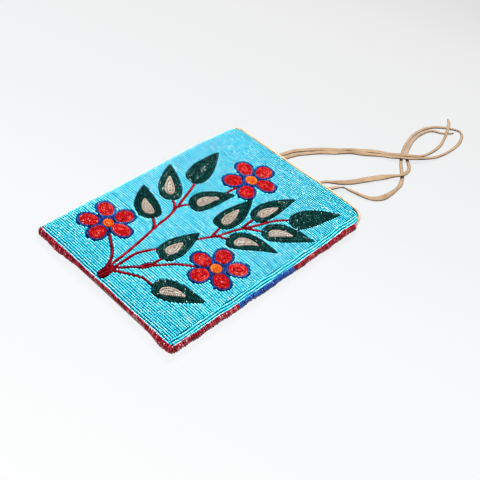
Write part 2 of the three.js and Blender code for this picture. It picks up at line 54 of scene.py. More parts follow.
# One bead as (along, radius) from end to end, its usual sizes, and how much beads differ by chance
BEAD_RINGS = [(-0.5, 0.6), (-0.3, 0.98), (0.3, 0.98), (0.5, 0.6)]
BEAD_SIDES = 8
BEAD_PITCH = 1.5
BEAD_FILL = 0.94
BEAD_RADIUS = 1.0
BEAD_TILT = 0.12
RADIUS_SPREAD = 0.035
LENGTH_SPREAD = 0.05
LIFT_SPREAD = 0.05
TINT_SPREAD = 0.2
ROW_STREAK = 0.10
ROW_JITTER = 0.07

# Rings of beads within an outline, and the hollow between them that takes one bead more
RING_PITCH = 1.92
DEEPEST_RING = 30
FILL_GAP = 1.3
FILL_STEP = 0.35
FILL_MARGIN = 0.55

# The ground's rows, from the bottom seam to the mouth. The lowest rows and the upper ones have thinner beads
ROW_COUNT = 108
ROWS_START = -80.0
ROWS_END = 69.4
ROW_STEP = 0.2
SHORTEST_RUN = 0.7
MOUTH_ROWS = 0.93
LOW_ROWS = 0.14
LOW_ROWS_THINNER = 0.03
HIGH_ROWS_THINNER = 0.09
GROUND_RADIUS = 0.86
GROUND_FILL = 0.89
GROUND_TILT = 0.05
GROUND_STREAK = 0.06

# The lanes along the right edge, each as its foot and the end where it turns at the mouth
LANE_RADIUS = 0.92
LANE_STREAK = 0.05
LANE_JITTER = 0.05
LANES_DRAWN_IN = 1.4
LANES_RIGHT = [
    [(70.4, -112.2), (70.4, 105), (70.4, 109), (70.0, 113)],
    [(72.5, -111.4), (72.5, 103), (72.4, 107), (71.8, 111.2)],
    [(74.5, -110.6), (74.5, 100), (74.4, 104), (73.8, 108.4)],
]

# The mouth's rounded ends: x, y and radius at the right, and x, depth under the mouth and radius at the left
MOUTH_CORNER = (61.5, 104.0, 12.4)
LEFT_CORNER = (-69.6, 8.0, 8.0)

# The mouth's edge as y at each x, and the left edge as x at each y
MOUTH_X = [-75, -60, -30, 0, 30, 55, 66, 75]
MOUTH_Y = [111.3, 111.9, 112.9, 114.4, 116.4, 117.9, 117.3, 116.0]
LEFT_Y = [-112, -60, -25, 5, 20, 40, 62, 82, 100, 107]
LEFT_X = [-76.6, -77.2, -77.2, -78.2, -78.6, -79.4, -79.6, -79.0, -78.1, -77.5]

# A sheet of painted shade under the beads, as a grid, in a dark shade of each glass; its points carry their
# own tint
SHADE_BED_HEIGHT = 0.4
SHADE_BED_CELL = 1.0
SHADE_BED_ROWS = 226
SHADE_BED_MARGIN = 0.4
SHADE_BED_TINT = -1.0

# How far a ground bead reaches towards the pattern, and how far and how fully it is pushed off it
REACH_ALONG = 0.55
REACH_ACROSS = 0.9
PUSH_MOST = 0.7
PUSH_SHARE = 0.8

# How far a flower's dark blue outline reaches past its petals and its centre, over the rows and the painted
# shade
RIM_OVER_ROWS = (1.9, 3.6)
RIM_OVER_SHADE_BED = (1.8, 3.4)

RNG = np.random.default_rng(11)


# Camera, at the photograph's viewing angle

CAMERA_AXES = [(0.70902, 0.68198, 0.17942), (-0.57990, 0.41910, 0.69862), (0.40124, -0.59939, 0.69263)]
CAMERA_PLACE = (332.17, -446.40, 531.88)
CAMERA_LENS = 69.73


def add_camera():
    data = bpy.data.cameras.new("camera")
    data.lens = CAMERA_LENS
    data.sensor_width = 36
    data.clip_start = 0.05
    data.clip_end = 20
    camera = bpy.data.objects.new("camera", data)
    bpy.context.scene.collection.objects.link(camera)
    turn = Matrix(CAMERA_AXES).transposed().to_4x4()
    camera.matrix_world = Matrix.Translation(Vector(CAMERA_PLACE) * MM) @ turn
    bpy.context.scene.camera = camera


add_camera()


# Meshes


def add_layer(mesh, label, values):
    layer = mesh.attributes.new(label, "FLOAT", "POINT")
    layer.data.foreach_set("value", np.asarray(values, np.float32).ravel())


def mesh_object(name, points, faces, material, smooth=True):
    """A mesh from points in millimetres and arrays of faces, each array with one number of corners."""
    mesh = bpy.data.meshes.new(name)
    mesh.vertices.add(len(points))
    mesh.vertices.foreach_set("co", (np.asarray(points) * MM).astype(np.float32).ravel())
    corners = np.concatenate([np.asarray(f).ravel() for f in faces]).astype(np.int32)
    sizes = np.concatenate([np.full(len(f), np.shape(f)[1]) for f in faces])
    starts = np.concatenate([[0], np.cumsum(sizes)[:-1]]).astype(np.int32)
    mesh.loops.add(len(corners))
    mesh.loops.foreach_set("vertex_index", corners)
    mesh.polygons.add(len(sizes))
    mesh.polygons.foreach_set("loop_start", starts)
    mesh.polygons.foreach_set("use_smooth", np.full(len(sizes), smooth))
    mesh.update(calc_edges=True)
    piece = bpy.data.objects.new(name, mesh)
    bpy.context.scene.collection.objects.link(piece)
    mesh.materials.append(material)
    return piece


def grid_faces(rows, columns):
    """The faces of a grid of points, row by row."""
    a = (np.arange(rows - 1)[:, None] * columns + np.arange(columns - 1)).ravel()
    return np.stack([a, a + 1, a + columns + 1, a + columns], 1)


def ring_faces(count, per):
    """The faces of a closed tube of count rings with per points each, and its two ends."""
    start, k = np.arange(count - 1)[:, None] * per, np.arange(per)
    a, b = (start + k).ravel(), (start + (k + 1) % per).ravel()
    last = (count - 1) * per
    ends = np.array([range(per - 1, -1, -1), range(last, last + per)])
    return [np.stack([a, b, b + per, a + per], 1), ends]


def unit(v):
    return v / np.maximum(np.linalg.norm(v, axis=-1, keepdims=True), 1e-9)


def leftward(v):
    """Directions in the plane turned a quarter to the left."""
    return np.stack([-v[..., 1], v[..., 0]], -1)


BEAD_ANGLES = np.arange(BEAD_SIDES) * 2 * np.pi / BEAD_SIDES
BEAD_POINTS = np.array([(x, r * math.cos(a), r * math.sin(a)) for x, r in BEAD_RINGS for a in BEAD_ANGLES])
BEAD_QUADS, BEAD_CAPS = ring_faces(len(BEAD_RINGS), BEAD_SIDES)


class Beads:
    """Beads of one colour, and a darker sheet of painted shade that shows between them."""

    def __init__(self, tilt=BEAD_TILT):
        self.tilt = tilt
        self.rows, self.bed_points, self.shade_bed_faces = [], [], []

    def add(self, *row):
        """One row: its centres, axes and upward directions, and then its lengths, radii and tints."""
        self.rows.append(row)

    def add_shade_bed(self, points, faces):
        start = sum(len(p) for p in self.bed_points)
        self.bed_points.append(points)
        self.shade_bed_faces.append(np.asarray(faces) + start)

    def build(self, name, material):
        centres, axes, ups, lengths, radii, tints = (np.concatenate(values) for values in zip(*self.rows))
        count = len(centres)
        axes = unit(axes + RNG.normal(0, self.tilt, (count, 3)))
        side = unit(np.cross(ups, axes))
        up = np.cross(axes, side)
        roll = RNG.uniform(0, 2 * np.pi, (count, 1))
        side, up = side * np.cos(roll) + up * np.sin(roll), up * np.cos(roll) - side * np.sin(roll)
        lengths, radii = lengths[:, None, None], radii[:, None, None]
        points = (
            centres[:, None]
            + axes[:, None] * BEAD_POINTS[:, :1] * lengths
            + side[:, None] * BEAD_POINTS[:, 1:2] * radii
            + up[:, None] * BEAD_POINTS[:, 2:] * radii
        ).reshape(-1, 3)
        per = len(BEAD_POINTS)
        offset = (np.arange(count) * per)[:, None, None]
        faces = [(BEAD_QUADS + offset).reshape(-1, 4), (BEAD_CAPS + offset).reshape(-1, BEAD_SIDES)]
        tint = np.repeat(tints, per)
        if self.bed_points:
            bed = np.concatenate(self.bed_points)
            faces += [f + len(points) for f in self.shade_bed_faces]
            tint = np.concatenate([tint, np.full(len(bed), SHADE_BED_TINT)])
            points = np.concatenate([points, bed])
        piece = mesh_object(name, points, faces, material)
        add_layer(piece.data, "tint", tint)
        return piece


# Smooth lines


def smooth_line(points, per, closed=False):
    """A Catmull-Rom line through the points."""
    p = np.asarray(points, float)
    if closed:
        p = np.concatenate([p[-1:], p, p[:2]])
    else:
        p = np.concatenate([2 * p[:1] - p[1:2], p, 2 * p[-1:] - p[-2:-1]])
    t = (np.arange(per) / per)[:, None]
    parts = []
    for a, b, c, d in zip(p[:-3], p[1:-2], p[2:-1], p[3:]):
        parts.append(
            0.5 * (2 * b + (c - a) * t + (2 * a - 5 * b + 4 * c - d) * t**2 + (3 * b - a - 3 * c + d) * t**3)
        )
    if not closed:
        parts.append(p[-2:-1])
    return np.concatenate(parts)


def distances(line):
    """How far along a line each of its points lies."""
    return np.concatenate([[0], np.cumsum(np.linalg.norm(np.diff(line, axis=0), axis=1))])


def read_off(where, reach, values):
    """Values with any number of columns at places between those where they are known."""
    return np.stack([np.interp(where, reach, values[:, k]) for k in range(values.shape[1])], -1)


def evenly(points, pitch, closed=False):
    """Places along a line about a pitch apart, the direction at each, and the length that each one takes."""
    p = np.asarray(points, float)
    if closed:
        p = np.concatenate([p, p[:1]])
    reach = distances(p)
    total = np.linalg.norm(np.diff(p, axis=0), axis=1).sum()
    count = max(1, int(round(total / pitch)))
    at = (np.arange(count) + 0.5) * total / count
    ahead, behind = (read_off(np.clip(at + step, 0, total), reach, p) for step in (0.4, -0.4))
    return read_off(at, reach, p), unit(ahead - behind), total / count


def inside(outline, points):
    """Which points lie inside a closed outline."""
    x, y = points[:, 0], points[:, 1]
    found = np.zeros(len(points), bool)
    low, high = outline.min(0), outline.max(0)
    near = np.nonzero((x >= low[0]) & (x <= high[0]) & (y >= low[1]) & (y <= high[1]))[0]
    px, py = x[near], y[near]
    hit = np.zeros(len(near), bool)
    for (ax, ay), (bx, by) in zip(outline, np.roll(outline, -1, axis=0)):
        if ay == by:
            continue
        crosses = (ay > py) != (by > py)
        hit ^= crosses & (px < (bx - ax) * (py - ay) / (by - ay) + ax)
    found[near] = hit
    return found


def outside(outlines, points):
    """Which points lie in none of the outlines."""
    keep = np.ones(len(points), bool)
    for outline in outlines:
        keep &= ~inside(outline, points)
    return keep


def inset(outline, depth):
    """The closed line that runs depth inside an anticlockwise outline, or outside it for a negative depth."""
    p = smooth_line(outline, 3, closed=True)
    along = unit(np.roll(p, -1, axis=0) - np.roll(p, 1, axis=0))
    moved = p + leftward(along) * depth
    gaps = np.linalg.norm(moved[:, None] - p[None], axis=2).min(1)
    return moved[gaps > abs(depth) * 0.97]


def runs(points, keep, closed=True):
    """The stretches of a closed or open line where keep holds, each with whether it is closed."""
    if keep.all():
        return [(points, closed)]
    if not keep.any():
        return []
    start = int(np.argmin(keep)) if closed else 0
    points, keep = np.roll(points, -start, axis=0), np.roll(keep, -start)
    found, current = [], []
    for point, wanted in zip(points, keep):
        if wanted:
            current.append(point)
        elif current:
            found.append(current)
            current = []
    if current:
        found.append(current)
    return [(np.array(run), False) for run in found if len(run) > 2]


# The floral pattern: the same measures as the solid part's, drawn from the middle of the face

# The petals of each flower, as their middles and the directions that they point in, in degrees
TOP_PETALS = [(-17, 85.3, 91), (-3.9, 73.9, 21), (-8.2, 53.5, -62), (-25.7, 54.6, -123), (-30.3, 74.2, 158)]
LEFT_PETALS = [
    (-46.1, -52, 82), (-35.8, -64.4, 12), (-45.2, -81.1, -78), (-60.3, -77.6, -138), (-61.6, -58.9, 149.5),
]
RIGHT_PETALS = [
    (34.1, -17.9, 112), (51.1, -18.6, 49), (51.7, -38.4, -27), (36.6, -47.2, -101.5), (26, -34.3, 189),
]
FLOWERS = [
    {"centre": (-16.5, 68.4), "radius": 5.4, "size": (15.2, 13.3), "petals": TOP_PETALS},
    {"centre": (-48.2, -67.3), "radius": 4.6, "size": (14.8, 12.7), "petals": LEFT_PETALS},
    {"centre": (39.6, -31.9), "radius": 4.9, "size": (15, 13), "petals": RIGHT_PETALS},
]

# Each leaf is its base, tip, width and bend, and then the same for its pale heart
LEAVES = [
    (((-45.5, 23.5), (-59.6, 69.6), 19.8, 0.3), None),
    (((-39.5, -6.5), (-72.4, 22.9), 19.8, 0.4), ((-44.8, -2.8), (-61.8, 12.8), 8.6, 0.2)),
    (((-32.5, -34.5), (-65.4, -13.9), 21, 1.6), ((-36.2, -31.8), (-53.6, -23.6), 9, 1.4)),
    (((-22.9, 1.5), (-12, 42), 20.5, 3.1), ((-21.8, 7.4), (-16.4, 28.7), 8.8, 1.8)),
    (((6.8, 2.6), (1.5, 49.5), 19, -1.3), ((7.5, 8.4), (3.2, 32.5), 8.6, -0.2)),
    (((18.7, 34), (23.1, 82), 17.6, 2), ((18.7, 40.4), (22.1, 62.6), 8.2, 0.5)),
    (((42, 55.9), (59.8, 100.2), 20, 3.1), None),
    (((33.8, 28.5), (66.8, 56.2), 21, 3.1), ((38.4, 31.3), (53.4, 46.6), 8.6, 2.4)),
    (((22.9, -3), (56.9, 21.4), 19.5, 4.3), ((28.6, -0.2), (43.3, 14.4), 8.8, 3.2)),
    (((4.1, -58.5), (3.4, -15.6), 19.4, 0), ((3.8, -51.9), (3.8, -33.2), 8.4, 0)),
    (((22.9, -84), (58.5, -63.2), 21.2, 0.4), ((30, -83.8), (47.1, -71.1), 8.6, 2.3)),
]

ROOT = [(-12.2, -108.8), (-5.4, -108.8), (-5.8, -100), (-7, -93.5), (-9.8, -93.5), (-13.6, -99.5)]
ROOT_LANES = [
    [(-11.9, -109), (-11.6, -102), (-9.4, -94)],
    [(-9.6, -109.4), (-9.0, -101), (-7.6, -95)],
    [(-7.2, -109.4), (-6.6, -102), (-5.9, -96.5)],
]
KNOT = [(2.6, -80.3), (6.2, -76.5), (8, -69), (4.6, -68), (1.4, -74.5)]
KNOT_LANES = [[(2.4, -79.2), (3.2, -74), (5.4, -69)], [(4.6, -78.6), (5.6, -74), (7.4, -70)]]
STEM_WIDTH = 2.1

STEMS = [
    [(-10, -102), (-13.9, -97.5), (-16.6, -91.8), (-22.2, -85.7), (-29.3, -80.6), (-39, -74.6)],
    [(-10.5, -101), (-13, -92), (-14.4, -80), (-18.4, -58.5), (-22.4, -40.5)]
    + [(-25.6, -22), (-28.8, -12.3), (-33, 0), (-38.8, 16), (-43.5, 26.5)],
    [(-22, -42.8), (-27, -36.9), (-34, -33.4)],
    [(-28.4, -13.5), (-33, -8.4), (-41, -4.4)],
    [(-29.6, -9.8), (-28.4, -2.5), (-24, 4.5)],
    [(-8.8, -98), (-9.2, -88), (-9.9, -73), (-7.6, -64), (-2.8, -52)],
    [(-8, -95), (-3, -86.5), (4.2, -76)],
    [(5.8, -70), (6, -56.5)],
    [(6.5, -71), (12, -61.8), (18.3, -52.4), (30.5, -42)],
    [(-7, -97.5), (4, -89.6), (13, -84.6), (27, -83.6)],
    [(6, -25), (10.6, -13.8), (14.8, -4.5), (18.8, 11.2), (22.6, 22)]
    + [(26.6, 34.5), (29.8, 45), (33.4, 52.7), (40, 61)],
    [(12.2, -8.5), (10.3, -2), (8.8, 6)],
    [(13.4, -6.8), (18, -3.4), (27, -0.5)],
    [(20.6, 18), (19.3, 27), (18.6, 38)],
    [(20.8, 18.6), (27, 24.2), (37, 33)],
    [(-18.2, 34), (-18, 42.5), (-17, 55)],
]

# Half widths, as shares of the whole, at shares of the length
LEAF_PROFILE = [
    (0, 0.3), (0.05, 0.68), (0.13, 0.9), (0.3, 1), (0.45, 0.95), (0.66, 0.7), (0.85, 0.38), (1, 0.06),
]
PETAL_PROFILE = [(-0.5, 0.42), (-0.34, 0.76), (-0.08, 0.97), (0.16, 0.98), (0.37, 0.7), (0.5, 0.24)]


def outline_of(profile, place):
    """A closed outline from a profile. place gives the point at a share of the length, on either side."""
    right = [place(t, across, -1) for t, across in profile]
    left = [place(t, across, 1) for t, across in reversed(profile)]
    return smooth_line(right + left, 5, closed=True)


def leaf_outline(leaf, grow=0.0):
    base, tip, width, bend = leaf
    base, tip = np.array(base, float), np.array(tip, float)
    length = np.linalg.norm(tip - base)
    along = (tip - base) / length
    side = leftward(along)

    def place(t, across, sign):
        stretch = t * (length + 2 * grow) - grow
        reach = 4 * bend * t * (1 - t) + sign * (across * width / 2 + grow)
        return base + along * stretch + side * reach

    return outline_of(LEAF_PROFILE, place)


def petal_outline(petal, size, grow=0.0):
    x, y, angle = petal
    out = np.array([math.cos(math.radians(angle)), math.sin(math.radians(angle))])
    side = leftward(out)

    def place(t, across, sign):
        return np.array([x, y]) + out * t * (size[0] + 2 * grow) + side * sign * (across * size[1] / 2 + grow)

    return outline_of(PETAL_PROFILE, place)


def petals_of(flower, grow=0.0):
    return [petal_outline(petal, flower["size"], grow) for petal in flower["petals"]]


def circle(centre, radius, count=28):
    angles = np.arange(count) * 2 * np.pi / count
    return np.array(centre) + radius * np.stack([np.cos(angles), np.sin(angles)], 1)


def eye_of(flower, grow=0.0):
    return circle(flower["centre"], flower["radius"] + grow)


def rim_of(flower, reaches):
    """The outlines of a flower's petals and centre, grown by the two reaches."""
    return [*petals_of(flower, reaches[0]), eye_of(flower, reaches[1])]


def stem_outlines():
    """The outlines of the stems, and then those of the root and the knot."""
    outlines = []
    for points in STEMS:
        line = smooth_line(points, 5)
        side = -leftward(unit(np.gradient(line, axis=0))) * STEM_WIDTH / 2
        outlines.append(np.concatenate([line + side, (line - side)[::-1]]))
    return outlines + [smooth_line(corners, 6, closed=True) for corners in (ROOT, KNOT)]


# The face: where it lies and how high


def waves(x, y):
    """Slow unevenness of the stitched face."""
    return (
        0.30 * np.sin(x / 21.0 + 0.6) * np.sin(y / 27.0 + 1.1)
        + 0.16 * np.sin(x / 8.5 - y / 33.0 + 2.0)
        + 0.12 * np.sin(y / 7.4 + x / 46.0)
    )


def mouth_edge(x):
    return np.interp(x, MOUTH_X, MOUTH_Y)


def left_edge(y):
    """The beads along the left side bow out past the seam."""
    return np.interp(y, LEFT_Y, LEFT_X)


def bottom_edge(x):
    return -112.9 + 0.003 * (x + 75) + 0.22 * np.sin(x / 8.0 + 1.0)


def cloth_height(x, y):
    """Height of the cloth under the beads, rounded down towards the edges."""
    edge = np.minimum(np.minimum(x - left_edge(y) + 0.6, 75.6 - x), y - bottom_edge(x) + 0.6)
    drop = 1.15 * np.exp(-((np.maximum(edge, 0) / 3.2) ** 2))
    calm = np.clip(edge / 10, 0.25, 1)
    top = np.clip((y - 92) / 24, 0, 1) ** 2
    rise = 0.9 * top * np.exp(-(((x - 22) / 48) ** 2))
    return CLOTH_TOP - drop + waves(x, y) * calm + rise


def on_face(places, height):
    """Points at a height above the cloth, and the face's upward direction there."""
    x, y = places[:, 0], places[:, 1]
    z = cloth_height(x, y)
    step = 0.5
    slope_x = (cloth_height(x + step, y) - cloth_height(x - step, y)) / (2 * step)
    slope_y = (cloth_height(x, y + step) - cloth_height(x, y - step)) / (2 * step)
    normal = unit(np.stack([-slope_x, -slope_y, np.ones_like(x)], 1))
    return np.stack([x, y, z], 1) + normal * np.reshape(height, (-1, 1)), normal


# Beads on the face

PLACED, PLACED_WAYS = [], []


def lay(
    beads, places, along, share, radius=BEAD_RADIUS, streak=ROW_STREAK, jitter=ROW_JITTER, fill=BEAD_FILL
):
    """Beads at places on the face, each a little off in place, size and shade."""
    count = len(places)
    places = places + leftward(along) * RNG.normal(0, jitter, (count, 1))
    radii = radius * RNG.normal(1, RADIUS_SPREAD, count)
    centres, ups = on_face(places, radii + RNG.normal(0, LIFT_SPREAD, count))
    slope = -(ups[:, 0] * along[:, 0] + ups[:, 1] * along[:, 1]) / ups[:, 2]
    axes = unit(np.concatenate([along, slope[:, None]], 1))
    lengths = share * fill * RNG.normal(1, LENGTH_SPREAD, count)
    tints = np.clip(0.5 + RNG.normal(0, TINT_SPREAD, count) + RNG.normal(0, streak), 0, 1)
    beads.add(centres, axes, ups, lengths, radii, tints)


def lay_row(beads, line, clear, closed=False, radius=BEAD_RADIUS, jitter=ROW_JITTER):
    """A thread of beads along a line on the face, less those nearer than clear to beads laid before."""
    places, along, share = evenly(line, BEAD_PITCH, closed)
    if PLACED:
        laid = np.concatenate(PLACED)
        keep = np.linalg.norm(places[:, None] - laid[None], axis=2).min(1) > clear
        places, along = places[keep], along[keep]
    if len(places):
        PLACED.append(places)
        PLACED_WAYS.append(along)
        lay(beads, places, along, share, radius, jitter=jitter)


def fill_gaps(beads, outline, holes=()):
    """Puts single beads where the rings of an outline leave a hollow."""
    low, high = outline.min(0), outline.max(0)
    gx, gy = np.meshgrid(np.arange(low[0], high[0], FILL_STEP), np.arange(low[1], high[1], FILL_STEP))
    spots = np.stack([gx.ravel(), gy.ravel()], 1)
    spots = spots[inside(outline, spots) & outside(holes, spots)]
    edge = np.linalg.norm(spots[:, None] - outline[None], axis=2).min(1)
    spots = spots[edge > FILL_MARGIN]
    laid, ways = np.concatenate(PLACED), np.concatenate(PLACED_WAYS)
    near = (laid > low - 4).all(1) & (laid < high + 4).all(1)
    laid, ways = laid[near], ways[near]
    while len(spots):
        gaps = np.linalg.norm(spots[:, None] - laid[None], axis=2)
        free = gaps.min(1)
        best = int(free.argmax())
        if free[best] < FILL_GAP:
            break
        place, way = spots[best : best + 1], ways[gaps[best].argmin()][None]
        PLACED.append(place)
        PLACED_WAYS.append(way)
        lay(beads, place, way, BEAD_PITCH)
        laid, ways = np.concatenate([laid, place]), np.concatenate([ways, way])


def lay_rings(beads, outline, holes=(), first=0.95, clear=1.25):
    """Rings of beads from an outline inwards, kept out of its holes."""
    depth = first
    while depth < DEEPEST_RING:
        ring = inset(outline, depth)
        if len(ring) < 4:
            break
        for line, closed in runs(ring, outside(holes, ring)):
            lay_row(beads, line, clear, closed)
        depth += RING_PITCH


GROUND, STEM, LEAF, HEART = Beads(GROUND_TILT), Beads(), Beads(), Beads()
PETAL, RIM, EYE = Beads(), Beads(), Beads()


def lay_flowers():
    for flower in FLOWERS:
        for outline in petals_of(flower):
            lay_rings(PETAL, outline, first=0.85)
            fill_gaps(PETAL, outline)
        eye = eye_of(flower)
        lay_rings(EYE, eye, first=0.9)
        fill_gaps(EYE, eye)
    for flower in FLOWERS:
        near = petals_of(flower, 0.35)
        lines = [inset(outline, -0.95) for outline in petals_of(flower)]
        lines += [eye_of(flower, 1.0), eye_of(flower, 2.7)]
        for line in lines:
            for run, closed in runs(line, outside(near, line)):
                lay_row(RIM, run, clear=1.3, closed=closed, radius=0.96)


def lay_leaves():
    for leaf, heart in LEAVES:
        outline = leaf_outline(leaf)
        holes = [leaf_outline(heart, 0.75)] if heart else []
        lay_rings(LEAF, outline, holes)
        if heart:
            pale = leaf_outline(heart)
            lay_rings(HEART, pale, first=0.8, clear=1.15)
            fill_gaps(HEART, pale)
        fill_gaps(LEAF, outline, holes)


def lay_stems():
    blocked = [leaf_outline(leaf, 0.5) for leaf, _ in LEAVES]
    for flower in FLOWERS:
        blocked += petals_of(flower, 2.2)
    for lane in ROOT_LANES + KNOT_LANES:
        lay_row(STEM, smooth_line(lane, 10), clear=1.2, radius=0.92, jitter=0.2)
    for points in STEMS:
        line = smooth_line(points, 10)
        for run, _ in runs(line, outside(blocked, line), closed=False):
            lay_row(STEM, run, clear=1.35, jitter=0.26)


def pattern_outlines():
    outlines = [leaf_outline(leaf, 0.1) for leaf, _ in LEAVES]
    for flower in FLOWERS:
        outlines += rim_of(flower, RIM_OVER_ROWS)
    return outlines + stem_outlines()


def kept_off(places, outlines):
    """Moves ground beads just off the pattern's edge."""
    starts = np.concatenate(outlines)
    ends = np.concatenate([np.roll(o, -1, axis=0) for o in outlines])
    moved = places.copy()
    for part in np.array_split(np.arange(len(places)), max(1, len(places) // 400)):
        p = places[part]
        span = ends - starts
        t = ((p[:, None] - starts[None]) * span[None]).sum(2) / np.maximum((span**2).sum(1), 1e-9)
        near = starts[None] + np.clip(t, 0, 1)[..., None] * span[None]
        away = p[:, None] - near
        gap = np.linalg.norm(away, axis=2)
        nearest = gap.argmin(1)
        rows = np.arange(len(p))
        gap, away = gap[rows, nearest], away[rows, nearest]
        way = away / np.maximum(gap, 1e-6)[:, None]
        need = np.abs(way[:, 0]) * REACH_ALONG + np.abs(way[:, 1]) * REACH_ACROSS
        push = np.clip(need - gap, 0, PUSH_MOST)
        moved[part] = p + way * push[:, None] * PUSH_SHARE
    return moved


def in_mouth_corner(x, y):
    """Which places lie within the rounded right end of the mouth, or away from it."""
    corner_x, corner_y, reach = MOUTH_CORNER
    return (x < corner_x) | (y < corner_y) | (np.hypot(x - corner_x, y - corner_y) < reach)


def in_left_corner(x, y, spare=0.0):
    """The same for the left end of the mouth."""
    corner_x, depth, reach = LEFT_CORNER
    corner_y = mouth_edge(corner_x) - depth
    return (x > corner_x) | (y < corner_y) | (np.hypot(x - corner_x, y - corner_y) < reach - spare)


def drawn_in(y):
    """How far the lanes along the right edge lie further in towards the mouth."""
    return LANES_DRAWN_IN * np.clip((y - 40) / 50, 0, 1)


def row_radius(share):
    """The radius of the beads in a row, by the row's share of the way up the face."""
    thinner = LOW_ROWS_THINNER * (share < LOW_ROWS)
    return GROUND_RADIUS - thinner - HIGH_ROWS_THINNER * min(1, max(0, 2 * share - 0.5))


def lay_ground():
    outlines = pattern_outlines()
    x = np.arange(ROWS_START, ROWS_END, ROW_STEP)
    for j in range(ROW_COUNT):
        share = (j + 0.5) / ROW_COUNT
        drift = 0.12 * np.sin(x / 9.0 + j * 1.7) + 0.16 * np.sin(x / 26.0 + j * 0.31) + RNG.normal(0, 0.05)
        low, high = bottom_edge(x), mouth_edge(x)
        y = low + (high - low) * share + drift * min(1, 6 * share, 6 * (1 - share))
        line = np.stack([x, y], 1)
        keep = outside(outlines, line) & (x < ROWS_END - drawn_in(y)) & (x > left_edge(y))
        if share > MOUTH_ROWS:
            keep &= in_mouth_corner(x, y) & in_left_corner(x, y)
        for run, _ in runs(line, keep, closed=False):
            if run[-1, 0] - run[0, 0] < SHORTEST_RUN:
                continue
            places, along, step = evenly(run, BEAD_PITCH)
            places = kept_off(places, outlines)
            lay(GROUND, places, along, step, row_radius(share), GROUND_STREAK, fill=GROUND_FILL)
    for k, (foot, *turn) in enumerate(LANES_RIGHT):
        straight = [(foot[0], y) for y in np.arange(foot[1], turn[0][1] - 5, 5.0)]
        line = smooth_line(straight + turn, 10)
        wobble = 0.38 * np.sin(line[:, 1] / 8.2 + 0.4) + 0.24 * np.sin(line[:, 1] / 3.9 + 1.2)
        line[:, 0] += wobble * (1 - 0.25 * k) - drawn_in(line[:, 1])
        places, along, step = evenly(line, BEAD_PITCH)
        lay(GROUND, places, along, step, LANE_RADIUS, LANE_STREAK, LANE_JITTER)


def owned_outlines():
    """The outlines of the pattern over the ground, each with the beads that lie within it."""
    owned = [(STEM, outline) for outline in stem_outlines()]
    owned += [(LEAF, leaf_outline(leaf)) for leaf, _ in LEAVES]
    owned += [(HEART, leaf_outline(heart)) for _, heart in LEAVES if heart]
    for flower in FLOWERS:
        owned += [(RIM, outline) for outline in rim_of(flower, RIM_OVER_SHADE_BED)]
    for flower in FLOWERS:
        owned += [(PETAL, outline) for outline in petals_of(flower)]
        owned.append((EYE, eye_of(flower)))
    return owned


def lay_shade_beds():
    """Painted shade under the beads: a grid whose cells take the dark shade of the beads over them."""
    x = np.arange(-HALF_WIDTH - 5, HALF_WIDTH + 0.1, SHADE_BED_CELL)
    gx, share = np.meshgrid(x, np.linspace(0, 1, SHADE_BED_ROWS))
    low, high = bottom_edge(gx), mouth_edge(gx)
    gy = low + SHADE_BED_MARGIN + (high - low - 2 * SHADE_BED_MARGIN) * share
    points, _ = on_face(np.stack([gx.ravel(), gy.ravel()], 1), np.full(gx.size, SHADE_BED_HEIGHT))
    cells = grid_faces(SHADE_BED_ROWS, len(x))
    middles = points[cells].mean(1)[:, :2]
    mx, my = middles[:, 0], middles[:, 1]
    kept = in_mouth_corner(mx, my) & in_left_corner(mx, my, 0.3) & (mx > left_edge(my) + 0.5)
    cells, middles = cells[kept], middles[kept]
    sets = [GROUND, STEM, LEAF, HEART, RIM, PETAL, EYE]
    owner = np.zeros(len(cells), int)
    for beads, outline in owned_outlines():
        owner[inside(outline, middles)] = sets.index(beads)
    for index, beads in enumerate(sets):
        used, compact = np.unique(cells[owner == index], return_inverse=True)
        beads.add_shade_bed(points[used], compact.reshape(-1, 4))


# Materials


def new_material(name):
    """A material, its nodes, a function that joins their sockets, and its shader."""
    material = bpy.data.materials.new(name)
    material.use_nodes = True
    tree = material.node_tree

    def join(*joints):
        for source, output, target, entry in joints:
            tree.links.new(source.outputs[output], target.inputs[entry])

    return material, tree.nodes, join, tree.nodes["Principled BSDF"]


def set_inputs(node, values):
    for entry, value in values.items():
        node.inputs[entry].default_value = value


def add_node(nodes, kind, values=None):
    node = nodes.new("ShaderNode" + kind)
    set_inputs(node, values or {})
    return node


def add_math(nodes, operation, value=None):
    """A math node for two or three values, with the second one set if it is given."""
    node = add_node(nodes, "Math", {} if value is None else {1: value})
    node.operation = operation
    return node


def add_attribute(nodes, name):
    node = nodes.new("ShaderNodeAttribute")
    node.attribute_name = name
    return node


def add_bump(nodes, strength, distance):
    return add_node(nodes, "Bump", {"Strength": strength, "Distance": distance})


def ramp(nodes, stops):
    node = nodes.new("ShaderNodeValToRGB")
    elements = node.color_ramp.elements
    while len(elements) < len(stops):
        elements.new(0.5)
    for element, (position, colour) in zip(elements, stops):
        element.position = position
        element.color = (*colour, 1)
    return node


